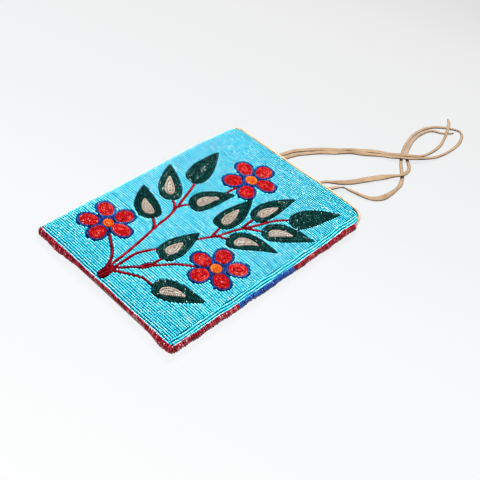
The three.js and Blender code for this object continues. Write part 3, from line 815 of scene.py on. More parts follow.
def bead_material(name, shades, gloss, glint, flank_shade):
    """Glass beads. The tint attribute picks each bead's shade, and only the palest ones glint fully.

    The shades are the painted shade of the sheet between the beads and then the glass's own, from dark to
    light.
    The flanks of a bead get painted shade: deeper in colour than its crest, by the shares of red, green and
    blue given.
    """
    material, nodes, join, shader = new_material(name)
    tint = add_attribute(nodes, "tint")
    fit = add_node(nodes, "MapRange", {"From Min": SHADE_BED_TINT, "From Max": 1.0})
    colours = ramp(nodes, list(zip((0.0, 0.5, 0.75, 1.0), shades)))
    shine = ramp(nodes, [(0.4, (0, 0, 0)), (0.5, (gloss,) * 3), (0.89, (gloss,) * 3), (0.94, (glint,) * 3)])
    # Painted shade: the colour darkens where the surface faces away from straight up, by the flank shares
    facing = add_node(nodes, "NewGeometry")
    height = add_node(nodes, "SeparateXYZ")
    depth = ramp(nodes, [(0.3, flank_shade), (0.95, (1, 1, 1))])
    shaded_colour = add_node(nodes, "Mix")
    shaded_colour.data_type = "RGBA"
    shaded_colour.blend_type = "MULTIPLY"
    set_inputs(shaded_colour, {"Factor": 1.0})
    join(
        (tint, "Fac", fit, "Value"),
        (fit, "Result", colours, "Fac"),
        (fit, "Result", shine, "Fac"),
        (facing, "Normal", height, "Vector"),
        (height, "Z", depth, "Fac"),
        (colours, "Color", shaded_colour, "A"),
        (depth, "Color", shaded_colour, "B"),
        (shaded_colour, "Result", shader, "Base Color"),
        (shine, "Color", shader, "Specular IOR Level"),
    )
    set_inputs(shader, {"Roughness": 0.1, "IOR": 2.0})
    return material


def hide_material(name, tones):
    """Smoked hide: mottled, with a fine nap."""
    material, nodes, join, shader = new_material(name)
    place = add_node(nodes, "TexCoord")
    patches = add_node(nodes, "TexNoise", {"Scale": 55, "Detail": 6, "Roughness": 0.65})
    colours = ramp(nodes, tones)
    nap = add_node(nodes, "TexNoise", {"Scale": 1400, "Detail": 3})
    bump = add_bump(nodes, 0.5, 0.0003)
    join(
        (place, "Object", patches, "Vector"),
        (place, "Object", nap, "Vector"),
        (patches, "Fac", colours, "Fac"),
        (colours, "Color", shader, "Base Color"),
        (nap, "Fac", bump, "Height"),
        (bump, "Normal", shader, "Normal"),
    )
    set_inputs(shader, {"Roughness": 0.88, "Sheen Weight": 0.25, "Sheen Roughness": 0.5})
    return material


def strip_material(name, tones, edge_dark):
    """Hide thong: paler along its middle, darker and browner towards its edges, with long streaks."""
    material, nodes, join, shader = new_material(name)
    rim, along, across = (add_attribute(nodes, label) for label in ("rim", "along", "across"))
    stretch = add_math(nodes, "MULTIPLY", 0.06)
    grain = add_node(nodes, "CombineXYZ")
    streaks = add_node(nodes, "TexNoise", {"Scale": 1.9, "Detail": 5})
    blotches = add_node(nodes, "TexNoise", {"Scale": 0.09})
    blotches.noise_dimensions = "1D"
    faint_blotches = add_math(nodes, "MULTIPLY", 0.24)
    nap = add_node(nodes, "TexNoise", {"Scale": 1500})
    edge = ramp(nodes, [(0.05, (1, 1, 1)), (0.75, (0, 0, 0))])
    tone = add_math(nodes, "MULTIPLY_ADD", 0.88)
    shade = add_math(nodes, "MULTIPLY_ADD", -edge_dark)
    colours = ramp(nodes, tones)
    coarse, fine = add_bump(nodes, 0.35, 0.0003), add_bump(nodes, 0.3, 0.00015)
    join(
        (along, "Fac", stretch, 0),
        (stretch, "Value", grain, "X"),
        (across, "Fac", grain, "Y"),
        (grain, "Vector", streaks, "Vector"),
        (along, "Fac", blotches, "W"),
        (blotches, "Fac", faint_blotches, 0),
        (streaks, "Fac", tone, 0),
        (faint_blotches, "Value", tone, 2),
        (rim, "Fac", edge, "Fac"),
        (edge, "Color", shade, 0),
        (tone, "Value", shade, 2),
        (shade, "Value", colours, "Fac"),
        (colours, "Color", shader, "Base Color"),
        (streaks, "Fac", coarse, "Height"),
        (nap, "Fac", fine, "Height"),
        (coarse, "Normal", fine, "Normal"),
        (fine, "Normal", shader, "Normal"),
    )
    set_inputs(shader, {"Roughness": 0.75, "Sheen Weight": 0.15})
    return material


def cloth_material(name, tones):
    """Plain woven cotton: two crossed sets of fine threads."""
    material, nodes, join, shader = new_material(name)
    place = add_node(nodes, "TexCoord")
    across, along = (add_node(nodes, "TexWave", {"Scale": 520, "Distortion": 0.6}) for _ in range(2))
    across.bands_direction, along.bands_direction = "X", "Y"
    weave = add_math(nodes, "MULTIPLY")
    colours = ramp(nodes, tones)
    bump = add_bump(nodes, 0.4, 0.0002)
    join(
        (place, "Object", across, "Vector"),
        (place, "Object", along, "Vector"),
        (across, "Fac", weave, 0),
        (along, "Fac", weave, 1),
        (weave, "Value", colours, "Fac"),
        (weave, "Value", bump, "Height"),
        (colours, "Color", shader, "Base Color"),
        (bump, "Normal", shader, "Normal"),
    )
    set_inputs(shader, {"Roughness": 0.92})
    return material


# Each glass: the painted shade of the sheet between its beads, and then its own dark, middle and light shades
GLASS_SHADES = {
    "light_blue": [(0.0, 0.05, 0.11), (0.01, 0.60, 0.79), (0.06, 0.88, 1.0), (0.40, 0.98, 1.0)],
    "dark_blue": [(0.001, 0.003, 0.02), (0.004, 0.018, 0.11), (0.008, 0.042, 0.22), (0.025, 0.10, 0.38)],
    # The rolled edge's glasses repeat the dark blue and dark red glass, painted lighter as painted light on
    # its dim sides
    "lit_edge_blue": [(0.001, 0.003, 0.03), (0.006, 0.04, 0.24), (0.012, 0.08, 0.44), (0.04, 0.18, 0.66)],
    "red": [(0.05, 0.0, 0.002), (0.27, 0.003, 0.005), (0.46, 0.005, 0.009), (0.82, 0.07, 0.05)],
    "dark_red": [(0.02, 0.0, 0.002), (0.13, 0.001, 0.005), (0.27, 0.002, 0.011), (0.44, 0.008, 0.02)],
    "lit_edge_red": [(0.03, 0.0, 0.003), (0.22, 0.002, 0.011), (0.45, 0.005, 0.026), (0.80, 0.09, 0.12)],
    "orange": [(0.15, 0.01, 0.0), (0.54, 0.04, 0.002), (0.69, 0.10, 0.004), (0.89, 0.26, 0.02)],
    "green": [(0.0, 0.003, 0.002), (0.0, 0.012, 0.011), (0.001, 0.028, 0.026), (0.01, 0.12, 0.10)],
    "pale": [(0.05, 0.035, 0.022), (0.30, 0.24, 0.19), (0.43, 0.36, 0.30), (0.58, 0.52, 0.45)],
}

# The gloss of each glass, the stronger gloss of its palest beads, and the painted shade of its flanks
GLASS_SHINE = {
    "light_blue": (0.40, 0.5, (0.05, 0.36, 0.55)),
    "dark_blue": (0.03, 0.5, (0.5, 0.5, 0.5)),
    "lit_edge_blue": (0.10, 0.9, (0.8, 0.8, 0.8)),
    "red": (0.02, 0.5, (0.7, 0.4, 0.4)),
    "dark_red": (0.01, 0.2, (0.7, 0.4, 0.5)),
    "lit_edge_red": (0.10, 1.0, (0.8, 0.8, 0.8)),
    "orange": (0.04, 0.8, (0.85, 0.6, 0.5)),
    "green": (0.015, 0.8, (0.5, 0.5, 0.5)),
    "pale": (0.06, 0.5, (0.5, 0.5, 0.5)),
}
HIDE_TONES = [(0.32, (0.36, 0.24, 0.13)), (0.5, (0.50, 0.36, 0.23)), (0.68, (0.60, 0.46, 0.32))]
LACE_TONES = [
    (0.02, (0.035, 0.013, 0.004)),
    (0.28, (0.105, 0.048, 0.016)),
    (0.5, (0.205, 0.116, 0.047)),
    (0.8, (0.30, 0.19, 0.092)),
]
BINDING_TONES = [
    (0.02, (0.10, 0.04, 0.012)),
    (0.28, (0.26, 0.15, 0.07)),
    (0.5, (0.44, 0.30, 0.18)),
    (0.8, (0.56, 0.43, 0.29)),
]
CLOTH_TONES = [(0.0, (0.50, 0.44, 0.34)), (1.0, (0.76, 0.70, 0.58))]

GLASS = {name: bead_material(name + "_glass", GLASS_SHADES[name], *GLASS_SHINE[name]) for name in GLASS_SHINE}
HIDE = hide_material("smoked_hide", HIDE_TONES)
LACE_HIDE = strip_material("hide_laces", LACE_TONES, 0.40)
BINDING_HIDE = strip_material("binding_hide", BINDING_TONES, 0.30)
CLOTH = cloth_material("cotton_cloth", CLOTH_TONES)


# Rolled edge: lanes of beads wrapped over the seam on three sides

# The section of bead centres at places along the roll, as (out, height) from top to bottom
ROLL_LEFT = [(-0.6, 6.5), (0.5, 5.5), (0.9, 4.1), (0.6, 2.6), (-0.6, 1.4)]
ROLL_LEFT_CORNER = [(0.2, 7.6), (1.9, 6.6), (2.9, 4.8), (2.6, 2.8), (1.0, 1.3)]
ROLL_BOTTOM = [(-0.2, 7.7), (0.8, 5.9), (0.5, 4.2), (-0.9, 2.6), (-2.6, 1.4)]
ROLL_RIGHT_CORNER = [(-0.3, 8.0), (1.7, 6.6), (2.3, 4.8), (2.0, 2.8), (0.6, 1.3)]
ROLL_RIGHT = [(-0.1, 8.0), (1.6, 7.0), (2.3, 5.0), (2.0, 2.8), (0.5, 1.3)]
ROLL_RIGHT_TOP = [(-1.5, 8.5), (0.7, 7.8), (1.7, 5.8), (1.4, 3.3), (0.2, 1.4)]

# How far each bead of the left section follows the beads of the face where they bow out
ROLL_LEFT_FOLLOWS = [1.0, 0.9, 0.65, 0.3, 0.0]
ROLL_PITCH = 2.1
ROLL_SLANT = 2.4
ROLL_OUT = 1.6
ROLL_BEAD_PITCH = 1.55
ROLL_RADIUS = 0.86
ROLL_RADIUS_SPREAD = 0.03
ROLL_LENGTH_SPREAD = 0.04
ROLL_STREAK = 0.18
ROLL_JITTER = 0.07
ROLL_LANE_JITTER = 0.16
# How far the sheet of painted shade under the roll's lanes lies below the bead centres
ROLL_SHADE_BED_DEPTH = 0.75
BLUE_FROM = -43.0
BLUE_TO = 21.5
CORNER_RADIUS = 1.5
RIGHT_TOP_END = 104.5
LEFT_TOP_END = 106.5


def arc(x, y, across, up, start, end, count):
    """Places along part of an ellipse, between two angles in degrees."""
    angles = np.radians(np.linspace(start, end, count))
    return [(x + across * math.cos(angle), y + up * math.sin(angle)) for angle in angles]


def roll_path():
    """The face's edge from the left mouth corner round to the right one, with outward directions."""
    low = -HALF_LENGTH + CORNER_RADIUS
    side_x = HALF_WIDTH - CORNER_RADIUS
    points = [(-HALF_WIDTH, y) for y in np.arange(LEFT_TOP_END, low, -0.5)]
    points += arc(-side_x, low, CORNER_RADIUS, CORNER_RADIUS, 180, 270, 7)
    points += [(x, -HALF_LENGTH) for x in np.arange(-side_x + 0.5, side_x, 0.5)]
    points += arc(side_x, low, CORNER_RADIUS, CORNER_RADIUS, 270, 360, 7)
    points += [(HALF_WIDTH, y) for y in np.arange(low + 0.5, RIGHT_TOP_END, 0.5)]
    p = np.array(points)
    along = unit(np.gradient(p, axis=0))
    kernel = np.ones(5) / 5
    along = unit(np.stack([np.convolve(np.pad(along[:, k], 2, "edge"), kernel, "valid") for k in (0, 1)], 1))
    return p, -leftward(along)


def roll_sections(p):
    """The section at each place on the path, blended between the named ones."""
    reach = distances(p)
    left_side = LEFT_TOP_END + HALF_LENGTH
    bottom_side = left_side + 2 * HALF_WIDTH
    marks = [
        (0, ROLL_LEFT),
        (left_side - 8, ROLL_LEFT),
        (left_side, ROLL_LEFT_CORNER),
        (left_side + 22, ROLL_LEFT_CORNER),
        (left_side + 60, ROLL_BOTTOM),
        (left_side + 115, ROLL_BOTTOM),
        (bottom_side - 14, ROLL_RIGHT_CORNER),
        (bottom_side, ROLL_RIGHT_CORNER),
        (bottom_side + 20, ROLL_RIGHT),
        (bottom_side + 150, ROLL_RIGHT),
        (reach[-1], ROLL_RIGHT_TOP),
    ]
    stops = [stop for stop, _ in marks]
    shapes = np.array([shape for _, shape in marks], float)
    sections = read_off(reach, stops, shapes.reshape(len(stops), -1)).reshape(len(p), -1, 2)
    sections[:, :, 0] += (0.25 * np.sin(reach / 6.1) + 0.18 * np.sin(reach / 2.7 + 1))[:, None]
    past_seam = np.clip(-HALF_WIDTH - left_edge(p[:, 1]) - 1.3, 0, 5)
    bow = past_seam * np.clip((p[:, 1] + 111) / 12, 0, 1) * (p[:, 0] < 0)
    sections[:, :, 0] += bow[:, None] * ROLL_LEFT_FOLLOWS
    return sections


def across_section(shares, shape):
    """The out and height of sections, each at its own share of the way from top to bottom."""
    knots = np.linspace(0, 1, shape.shape[1])
    return [np.array([np.interp(t, knots, s) for t, s in zip(shares, shape[..., axis])]) for axis in (0, 1)]


def in_blue(places):
    """Which places lie along the blue stretch of a side."""
    on_side = np.abs(places[:, 0]) > HALF_WIDTH - 1
    return on_side & (places[:, 1] > BLUE_FROM) & (places[:, 1] < BLUE_TO)


def lay_roll(red, blue):
    p, out = roll_path()
    sections = roll_sections(p)
    reach = distances(p + out * ROLL_OUT)
    lanes = int(reach[-1] / ROLL_PITCH)

    def at(values, where):
        mixed = read_off(where, reach, values.reshape(len(values), -1))
        return mixed.reshape(np.shape(where) + values.shape[1:])

    def surface(where, depth):
        """Points of one lane from top to bottom, sunk by depth under the bead centres."""
        u = np.linspace(0, 1, 21)
        shifted = np.clip(where + ROLL_SLANT * (u - 0.5), 0, reach[-1])
        base, way, shape = at(p, shifted), unit(at(out, shifted)), at(sections, shifted)
        o, z = across_section(u, shape)
        fall = unit(np.stack([np.gradient(o), np.gradient(z)], 1))
        normal = leftward(fall)
        o, z = o - normal[:, 0] * depth, z - normal[:, 1] * depth
        points = np.stack([base[:, 0] + way[:, 0] * o, base[:, 1] + way[:, 1] * o, z], 1)
        normals = np.stack([way[:, 0] * normal[:, 0], way[:, 1] * normal[:, 0], normal[:, 1]], 1)
        return points, normals

    for i in range(lanes):
        where = (i + 0.5) * reach[-1] / lanes
        points, normals = surface(where, 0)
        places, direction, share = evenly(points, ROLL_BEAD_PITCH)
        count = len(places)
        ups = unit(normals[np.clip((np.arange(count) + 0.5) / count * 20, 0, 20).astype(int)])
        radii = BEAD_RADIUS * RNG.normal(ROLL_RADIUS, ROLL_RADIUS_SPREAD, count)
        tints = np.clip(0.5 + RNG.normal(0, TINT_SPREAD, count) + RNG.normal(0, ROLL_STREAK), 0, 1)
        places = places + ups * (RNG.normal(0, ROLL_JITTER, (count, 1)) + RNG.normal(0, ROLL_LANE_JITTER))
        lengths = share * BEAD_FILL * RNG.normal(1, ROLL_LENGTH_SPREAD, count)
        beads = blue if in_blue(at(p, np.array([where])))[0] else red
        beads.add(places, direction, ups, lengths, radii, tints)
    # A sheet of painted shade under the roll's lanes, in the red or blue glass's dark shade
    wheres = np.linspace(0, reach[-1], lanes * 2)
    strips = np.array([surface(where, ROLL_SHADE_BED_DEPTH)[0][::2] for where in wheres])
    cells = grid_faces(*strips.shape[:2]).reshape(len(wheres) - 1, -1, 4)
    is_blue = in_blue(at(p, wheres))[:-1]
    red.add_shade_bed(strips.reshape(-1, 3), cells[~is_blue].reshape(-1, 4))
    blue.add_shade_bed(strips.reshape(-1, 3), cells[is_blue].reshape(-1, 4))


EDGE_RED, EDGE_BLUE = Beads(), Beads()

lay_flowers()
lay_leaves()
lay_stems()
lay_ground()
lay_shade_beds()
lay_roll(EDGE_RED, EDGE_BLUE)


def split(beads, parts):
    """Shares a large set of beads out over several pieces, by rows."""
    pieces = [Beads(beads.tilt) for _ in range(parts)]
    total, done = sum(len(row[0]) for row in beads.rows), 0
    for row in beads.rows:
        pieces[min(parts - 1, done * parts // total)].add(*row)
        done += len(row[0])
    pieces[0].bed_points, pieces[0].shade_bed_faces = beads.bed_points, beads.shade_bed_faces
    return pieces


def nodes_named(start, word="", without=None):
    """The part's solids whose names start in one way and hold a word, or don't hold another."""
    names = [name for name in sorted(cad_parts) if name.startswith(start) and word in name]
    return [name for name in names if without is None or without not in name]


def keep_piece(piece, slot, nodes=()):
    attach(piece, "root")
    if nodes:
        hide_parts(*nodes)


BEAD_PIECES = [
    (part, f"ground_beads_{i + 1}", "light_blue", "light_blue_beads", [] if i else nodes_named("bead_ground"))
    for i, part in enumerate(split(GROUND, 3))
]
BEAD_PIECES += [
    (STEM, "stem_beads", "dark_red", "dark_red_beads", nodes_named("stem")),
    (LEAF, "leaf_beads", "green", "green_beads", nodes_named("leaf", without="leaf_heart")),
    (HEART, "leaf_heart_beads", "pale", "pale_beads", nodes_named("leaf_heart")),
    (PETAL, "petal_beads", "red", "red_beads", nodes_named("flower", "petal")),
    (RIM, "petal_outline_beads", "dark_blue", "dark_blue_beads", nodes_named("flower", "outline")),
    (EYE, "flower_centre_beads", "orange", "orange_beads", nodes_named("flower", "centre")),
    # The rolled edge's beads take the lighter copies of the dark red and dark blue glass, painted light on
    # its dim sides
    (EDGE_RED, "edge_beads_red", "lit_edge_red", "dark_red_beads", nodes_named("edge_roll", without="blue")),
    (EDGE_BLUE, "edge_beads_blue", "lit_edge_blue", "dark_blue_beads", nodes_named("edge_roll", "blue")),
]
for beads, name, glass, slot, replaced in BEAD_PIECES:
    keep_piece(beads.build(name, GLASS[glass]), slot, replaced)


# Panels

# How far the cloth's seams lie in from the face's edge, and how thick the turned down cloth is
SEAM_IN = 0.9
SEAM_THICKNESS = 0.8
SEAM_SUNK = 0.3

# The grid of the panels, and the radii of their left and right mouth corners
PANEL_COLUMNS = 61
PANEL_ROWS = 91
PANEL_CORNERS = (5.0, 11.0)


def plate(name, places, top, bottom, material):
    """A closed sheet between two heights, from rows of places that all have the same number of points."""
    upper = np.concatenate([places, top(places)[..., None]], -1)
    lower = np.concatenate([places, bottom(places)[..., None]], -1)
    rows, columns = places.shape[:2]
    points = np.concatenate([upper.reshape(-1, 3), lower.reshape(-1, 3)])
    half = rows * columns
    top_faces = grid_faces(rows, columns)
    border = list(range(columns)) + [r * columns + columns - 1 for r in range(1, rows)]
    border += [(rows - 1) * columns + c for c in range(columns - 2, -1, -1)]
    border += [r * columns for r in range(rows - 2, 0, -1)]
    border = np.array(border)
    after = np.roll(border, -1)
    walls = np.stack([border, border + half, after + half, after], 1)
    return mesh_object(name, points, [top_faces, top_faces[:, ::-1] + half, walls], material)


def bag_rows(inset_by, top_edge):
    """Rows of places over the bag's plan, drawn in at both mouth corners."""
    grid = np.empty((PANEL_ROWS, PANEL_COLUMNS, 2))
    half = HALF_WIDTH - inset_by
    low = -HALF_LENGTH + inset_by
    share = np.linspace(0, 1, PANEL_ROWS)
    for c, across in enumerate(np.linspace(-1, 1, PANEL_COLUMNS)):
        x = across * half
        high = top_edge(x)
        radius = PANEL_CORNERS[0] if across < 0 else PANEL_CORNERS[1]
        edge = half - abs(x)
        if edge < radius:
            high -= radius - math.sqrt(max(radius**2 - (radius - edge) ** 2, 0))
        grid[:, c, 0] = x
        grid[:, c, 1] = low + (high - low) * share
    return grid


def add_back():
    def ripple(g):
        edge = np.clip(1 - (HALF_WIDTH - np.abs(g[..., 0])) / 14, 0, 1)
        mouth = np.clip((g[..., 1] - 96) / 18, 0, 1)
        return 0.35 * mouth**2 * (1 + np.sin(g[..., 0] / 11.0)) + 0.12 * edge

    grid = bag_rows(0.5, lambda x: mouth_edge(x) + 1.4)
    piece = plate("hide_back", grid, lambda g: BACK_TOP + ripple(g), lambda g: 0.02 + ripple(g), HIDE)
    keep_piece(piece, "hide", ["back_panel"])


def add_front():
    """The cloth front: its top under the beads, turned down at the three seams."""

    def height(g):
        return cloth_height(g[..., 0], g[..., 1])

    grid = bag_rows(SEAM_IN, lambda x: mouth_edge(x) - 0.3)
    piece = plate("cloth_front", grid, lambda g: height(g) - 0.02, lambda g: height(g) - 0.7, CLOTH)
    keep_piece(piece, "cloth", ["front_panel"])
    left, right, low = -HALF_WIDTH + SEAM_IN, HALF_WIDTH - SEAM_IN, -HALF_LENGTH + SEAM_IN
    path = [(left, y) for y in np.linspace(LEFT_TOP_END, low, 60)]
    path += [(x, low) for x in np.linspace(left, right, 40)[1:]]
    path += [(right, y) for y in np.linspace(low, RIGHT_TOP_END, 60)[1:]]
    path = np.array(path)
    inward = leftward(unit(np.gradient(path, axis=0)))
    rings = []
    for outer, inner, z in zip(path, path + inward * SEAM_THICKNESS, height(path) - SEAM_SUNK):
        rings.append([(*outer, z), (*outer, BACK_TOP), (*inner, BACK_TOP), (*inner, z)])
    seam = mesh_object("cloth_seams", np.array(rings).reshape(-1, 3), ring_faces(len(rings), 4), CLOTH)
    keep_piece(seam, "cloth")
    return piece, seam


add_back()
FRONT, SEAMS = add_front()


# Mouth binding: a folded hide strip over the front's edge

# The arcs of its ends as (across, up) radii, and the length over which it grows full
BINDING_LEFT_ARC = (7.6, 8.8)
BINDING_RIGHT_ACROSS = 13.3
BINDING_RIGHT_Y = 104.4
BINDING_OUT = 0.9
BINDING_LIFT = 0.55
BINDING_TAPER = 24.0

# Its width and height at the right end, how much more they are where it is full, and how far the end is sunk
BINDING_THIN = (1.0, 1.5)
BINDING_FULLER = (1.9, 1.4)
BINDING_SUNK = 1.6


def tube(name, centres, ups, section, material):
    """A closed strip along a line. section gives the (across, up) points of each ring."""
    along = unit(np.gradient(centres, axis=0))
    side = unit(np.cross(along, ups))
    up = np.cross(side, along)
    rings = centres[:, None] + side[:, None] * section[..., :1] + up[:, None] * section[..., 1:2]
    return mesh_object(name, rings.reshape(-1, 3), ring_faces(*section.shape[:2]), material)


def rounded_section(width, height, count, power):
    angles = np.arange(count) * 2 * np.pi / count
    c, s = np.cos(angles), np.sin(angles)
    across = np.sign(c) * np.abs(c) ** power * width / 2
    return np.stack([across, np.sign(s) * np.abs(s) ** power * height / 2], 1)


def strip_measures(piece, section, width, reach):
    """Gives a strip's points their distance in from its edge, along it and across it, in millimetres."""
    rim = width[:, None] / 2 - np.abs(section[..., 0])
    run = np.repeat(reach[:, None], section.shape[1], axis=1)
    for label, values in (("rim", rim), ("along", run), ("across", section[..., 0])):
        add_layer(piece.data, label, values)


def mouth_path():
    right_x, left_x = MOUTH_CORNER[0], LEFT_CORNER[0]
    right_up = mouth_edge(right_x) - BINDING_RIGHT_Y + 1
    points = arc(right_x, BINDING_RIGHT_Y, BINDING_RIGHT_ACROSS, right_up, -12, 84, 12)
    points += [(x, mouth_edge(x) + BINDING_OUT) for x in np.linspace(right_x - 2, left_x + 1, 60)]
    points += arc(left_x, mouth_edge(left_x) - LEFT_CORNER[1], *BINDING_LEFT_ARC, 96, 140, 6)
    return smooth_line(points, 3)


def add_binding():
    """The folded strip, fullest along the mouth and drawn thin and low round the right corner."""
    line = mouth_path()
    s = np.arange(len(line))
    reach = distances(line)
    full = np.clip(reach / BINDING_TAPER, 0, 1) ** 0.8
    z = cloth_height(np.clip(line[:, 0], -74, 74), np.minimum(line[:, 1], mouth_edge(line[:, 0])))
    centres = np.column_stack([line, z + BINDING_LIFT - BINDING_SUNK * (1 - full)])
    width, height = (thin + fuller * full for thin, fuller in zip(BINDING_THIN, BINDING_FULLER))
    width = width * (1 + 0.11 * np.sin(s / 2.9) + 0.07 * np.sin(s / 1.3 + 2))
    height = height * (1 + 0.06 * np.sin(s / 3.7 + 1))
    section = np.stack([rounded_section(w, h, 14, 0.75) for w, h in zip(width, height)])
    piece = tube("mouth_strip", centres, np.array([[0.0, 0.0, 1.0]]), section, BINDING_HIDE)
    strip_measures(piece, section, width, reach)
    keep_piece(piece, "hide", ["mouth_binding"])
    return piece


BINDING = add_binding()


# Laces: each place is x, y and the thong's width, and then its height and turn where they aren't the usual

HANDLE_LACE = [
    (-26.5, 101, 4, 2.3), (-25.2, 115, 4, 2.3), (-22.9, 130.9, 4, 1.2), (-21.4, 137.9, 4.4),
    (-18.1, 144.7, 4.8), (-13.9, 152.7, 4.8), (-9.5, 160.4, 4.8), (-3.8, 168.7, 4.8), (1.9, 177.3, 4),
    (6.8, 184.8, 3.6, 0.9, 12), (12.5, 191.4, 5.2, 0.9, 5), (19.1, 199.2, 5.6), (25.8, 206.3, 5.6),
    (33.5, 212.1, 4.8, 1.6), (41.5, 219.7, 3.8, 2.7), (47.5, 226, 3.3, 3), (54.9, 237.4, 3.3, 2.7),
    (59.9, 250.8, 3, 1.2), (62.1, 261.2, 3), (63.1, 270.9, 3), (63, 282.5, 3), (61.3, 293.2, 3),
    (57.9, 302.4, 3), (53.9, 307.6, 3), (49.7, 308.7, 3), (44.8, 306, 3), (39.2, 301.2, 3.1),
    (34.5, 295.9, 3.1), (30, 289, 3.1), (26.9, 279.8, 3.1), (25.9, 269.9, 3.1), (26.6, 259.1, 3.1),
    (29.1, 248.1, 3.1), (32.6, 237.8, 3.1), (36.3, 229.7, 3.1), (40.2, 222.2, 3.1), (45.2, 214.9, 3.1),
    (51.2, 207.5, 3.6), (57.3, 200.5, 3.6), (61.4, 194.1, 3.6), (64.3, 187.4, 3.8), (65.7, 178.9, 3.8),
    (66.1, 170.4, 4.8), (65.5, 161.3, 5.4), (62.9, 154.1, 5.4), (58, 148.8, 5), (51.7, 145.4, 4.8),
    (44.9, 142.6, 5, 0.9, 10), (39, 140.4, 5, 0.9, 15), (34.9, 137.9, 4.2, 1, 45),
    (31.5, 133.6, 4, 1.3, 20), (27.8, 125, 3.8, 1.8), (25.5, 114.5, 3.8, 2.3), (24.5, 101, 3.8, 2.3),
]
LEFT_TIE_LACE = [
    (-31.5, 101, 4, 2.3), (-30.2, 115, 4, 2.3), (-27.8, 132, 4, 1.2), (-26.1, 139.6, 4.4),
    (-22.5, 147, 4.8), (-18.1, 155.1, 4.8), (-13.2, 162.9, 4.8), (-7, 170.9, 4.8), (-1.2, 179.4, 4),
    (3.6, 187.3, 3.6, 0.9, 12), (9.6, 193.9, 5.2, 0.9, 5), (15.8, 202, 5.6), (23, 209.6, 5.6),
    (31, 215.5, 4.8, 1.6), (39, 222.6, 3.8, 2.7), (45, 229.1, 3.3, 3), (50.2, 236.2, 3.3, 2.7),
    (52.7, 247.7, 3, 1.2), (53.3, 260.4, 3), (52.1, 272.2, 3, 0.95), (49.2, 282.4, 3, 1.5),
    (45.9, 290.9, 3, 2.8), (41.6, 299.9, 3, 2.9), (36.7, 309.6, 3, 1.9), (31.7, 315.3, 3),
]
RIGHT_TIE_LACE = [
    (13.5, 101, 3.2, 2.3), (15.2, 115, 3.2, 2.3), (19.2, 130, 3.2, 1.2), (23.9, 136.5, 3.4, 0.9, 5),
    (29.4, 142.9, 4.6, 0.9, 8), (34.4, 151.8, 5.8), (38.5, 162, 7), (42.9, 172, 7), (47.3, 182.2, 7),
    (51.2, 189.8, 4.6, 1.4, 5), (55.4, 194.4, 3.3, 2.8), (57.9, 200.4, 3.3, 3), (57.1, 209.3, 3.3, 1.8),
    (53.6, 217.1, 3.3), (48, 222.2, 3.3), (41.9, 227.8, 3.3), (37.4, 236, 3.3), (34, 244.9, 3.3),
    (31.3, 254.5, 3.3), (29.9, 264.3, 3.3), (30.1, 273.7, 3.3), (31.6, 281.3, 3.3), (35.3, 286.1, 3.3),
    (40.9, 289.5, 3.3), (45.3, 294.7, 3.3), (48.6, 300.6, 3.3),
]
LACE_THICKNESS = 1.3
LACE_HEIGHT = 0.9
LACE_TAPER = 6
LACE_SWAY = 7


def lace_point(x, y, width, height=LACE_HEIGHT, turn=0):
    return x, y, height, width, turn


def add_lace(name, node, places, far_end, seed):
    """A flat hide thong, cut by hand to an uneven width and turned here and there."""
    points = [lace_point(*place) for place in places]
    line = smooth_line(points, 9)
    line, width, turn = line[:, :3], line[:, 3], np.radians(line[:, 4:])
    reach = distances(line)
    along = unit(np.gradient(line, axis=0))
    side = unit(np.cross(along, np.array([0, 0, 1.0])))
    up = np.cross(side, along)
    phase = np.random.default_rng(seed).uniform(0, 6, 4)
    width = width * (1 + 0.06 * np.sin(reach / 6.1 + phase[0]) + 0.03 * np.sin(reach / 2.3 + phase[1]))
    if far_end == "bare":
        width *= 1 - 0.5 * np.clip((reach - reach[-1] + LACE_TAPER) / LACE_TAPER, 0, 1)
    thick = LACE_THICKNESS * (1 + 0.10 * np.sin(reach / 4.3 + phase[2]))
    turn = turn + np.radians(LACE_SWAY) * np.sin(reach / 11.0 + phase[3])[:, None]
    ups = up * np.cos(turn) + side * np.sin(turn)
    section = np.stack([rounded_section(w, h, 16, 0.6) for w, h in zip(width, thick)])
    centres = line.copy()
    centres[:, 2] += np.abs(np.sin(turn[:, 0])) * (width - LACE_THICKNESS) / 2
    piece = tube(name, centres, ups, section, LACE_HIDE)
    strip_measures(piece, section, width, reach)
    keep_piece(piece, "hide_laces", [node])
    [v * MM for v in points[1][:3]]
    [[float(v) * MM for v in p] for p in centres]


add_lace("handle_lace", "lace_handle", HANDLE_LACE, "object", 1)
add_lace("left_tie", "lace_tie_left", LEFT_TIE_LACE, "bare", 2)
add_lace("right_tie", "lace_tie_right", RIGHT_TIE_LACE, "bare", 3)


# Studio: a pale floor that glows with painted light, white surroundings and large soft lights

# The floor's painted light: its glow, brighter at the near side and darker at the far side, in metres along
# the view
FLOOR_TURN = -23.0
FLOOR_NEAR = -0.27
FLOOR_FAR = 0.53
FLOOR_GLOW_TONES = [
    (0.0, (0.995, 1.0, 1.0)),
    (0.21, (0.952, 0.962, 0.980)),
    (0.34, (0.930, 0.940, 0.957)),
    (0.46, (0.886, 0.895, 0.910)),
    (0.58, (0.862, 0.868, 0.876)),
    (0.76, (0.835, 0.842, 0.838)),
    (0.87, (0.80, 0.80, 0.80)),
    (1.0, (0.715, 0.715, 0.715)),
]
# How much of the floor is painted glow, the rest lit by the lamps
FLOOR_GLOW_SHARE = 0.91
FLOOR_DEPTH = -0.05
FLOOR_REACH = 4000.0
WORLD_COLOUR = (0.97, 0.985, 1.0, 1)
WORLD_STRENGTH = 0.14

# Each light's place in metres, its size and its power
LIGHTS = {
    "key_light": ((-1.18, 1.65, 2.12), 1.1, 212),
    "fill_light": ((0.5, -1.0, 2.1), 1.8, 36),
}


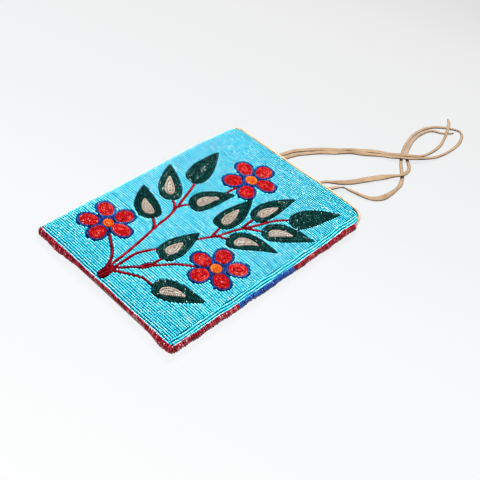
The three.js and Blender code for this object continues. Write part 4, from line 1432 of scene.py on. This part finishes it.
def add_floor():
    """A pale ground. Seen straight or mirrored it mostly glows with painted light, brighter near and darker
    far, with faint shadows.
    """
    material, nodes, join, shader = new_material("floor_painted_glow")
    set_inputs(shader, {"Base Color": (0.40, 0.40, 0.40, 1), "Roughness": 1.0})
    place = add_node(nodes, "TexCoord")
    turned = add_node(nodes, "Mapping", {"Rotation": (0, 0, math.radians(FLOOR_TURN))})
    parts = add_node(nodes, "SeparateXYZ")
    reach = add_node(nodes, "MapRange", {"From Min": FLOOR_NEAR, "From Max": FLOOR_FAR})
    tones = ramp(nodes, FLOOR_GLOW_TONES)
    glow = add_node(nodes, "Emission")
    path = add_node(nodes, "LightPath")
    straight_or_mirrored, seen = (add_math(nodes, "MAXIMUM") for _ in range(2))
    glow_share = add_math(nodes, "MULTIPLY", FLOOR_GLOW_SHARE)
    mix = add_node(nodes, "MixShader")
    join(
        (place, "Object", turned, "Vector"),
        (turned, "Vector", parts, "Vector"),
        (parts, "Y", reach, "Value"),
        (reach, "Result", tones, "Fac"),
        (tones, "Color", glow, "Color"),
        (path, "Is Camera Ray", straight_or_mirrored, 0),
        (path, "Is Glossy Ray", straight_or_mirrored, 1),
        (straight_or_mirrored, "Value", seen, 0),
        (path, "Is Transmission Ray", seen, 1),
        (seen, "Value", glow_share, 0),
        (glow_share, "Value", mix, "Fac"),
        (shader, "BSDF", mix, 1),
        (glow, "Emission", mix, 2),
        (mix, "Shader", nodes["Material Output"], "Surface"),
    )
    corners = [(-1, -1), (1, -1), (1, 1), (-1, 1)]
    points = np.array([(x * FLOOR_REACH, y * FLOOR_REACH, FLOOR_DEPTH) for x, y in corners])
    mesh_object("floor", points, [np.array([(0, 1, 2, 3)])], material, smooth=False)


def add_area(name, location, size, power):
    """A square light that points at the middle of the face."""
    data = bpy.data.lights.new(name, "AREA")
    data.shape = "SQUARE"
    data.size = size
    data.energy = power
    light = bpy.data.objects.new(name, data)
    bpy.context.scene.collection.objects.link(light)
    light.location = location
    light.rotation_euler = (-Vector(location)).to_track_quat("-Z", "Y").to_euler()


def add_world():
    world = bpy.data.worlds.new("surroundings")
    bpy.context.scene.world = world
    world.use_nodes = True
    background = world.node_tree.nodes["Background"]
    set_inputs(background, {"Color": WORLD_COLOUR, "Strength": WORLD_STRENGTH})


add_floor()
add_world()
for light_name, (light_place, light_size, light_power) in LIGHTS.items():
    add_area(light_name, light_place, light_size, light_power)

bpy.context.scene.view_settings.view_transform = "Standard"
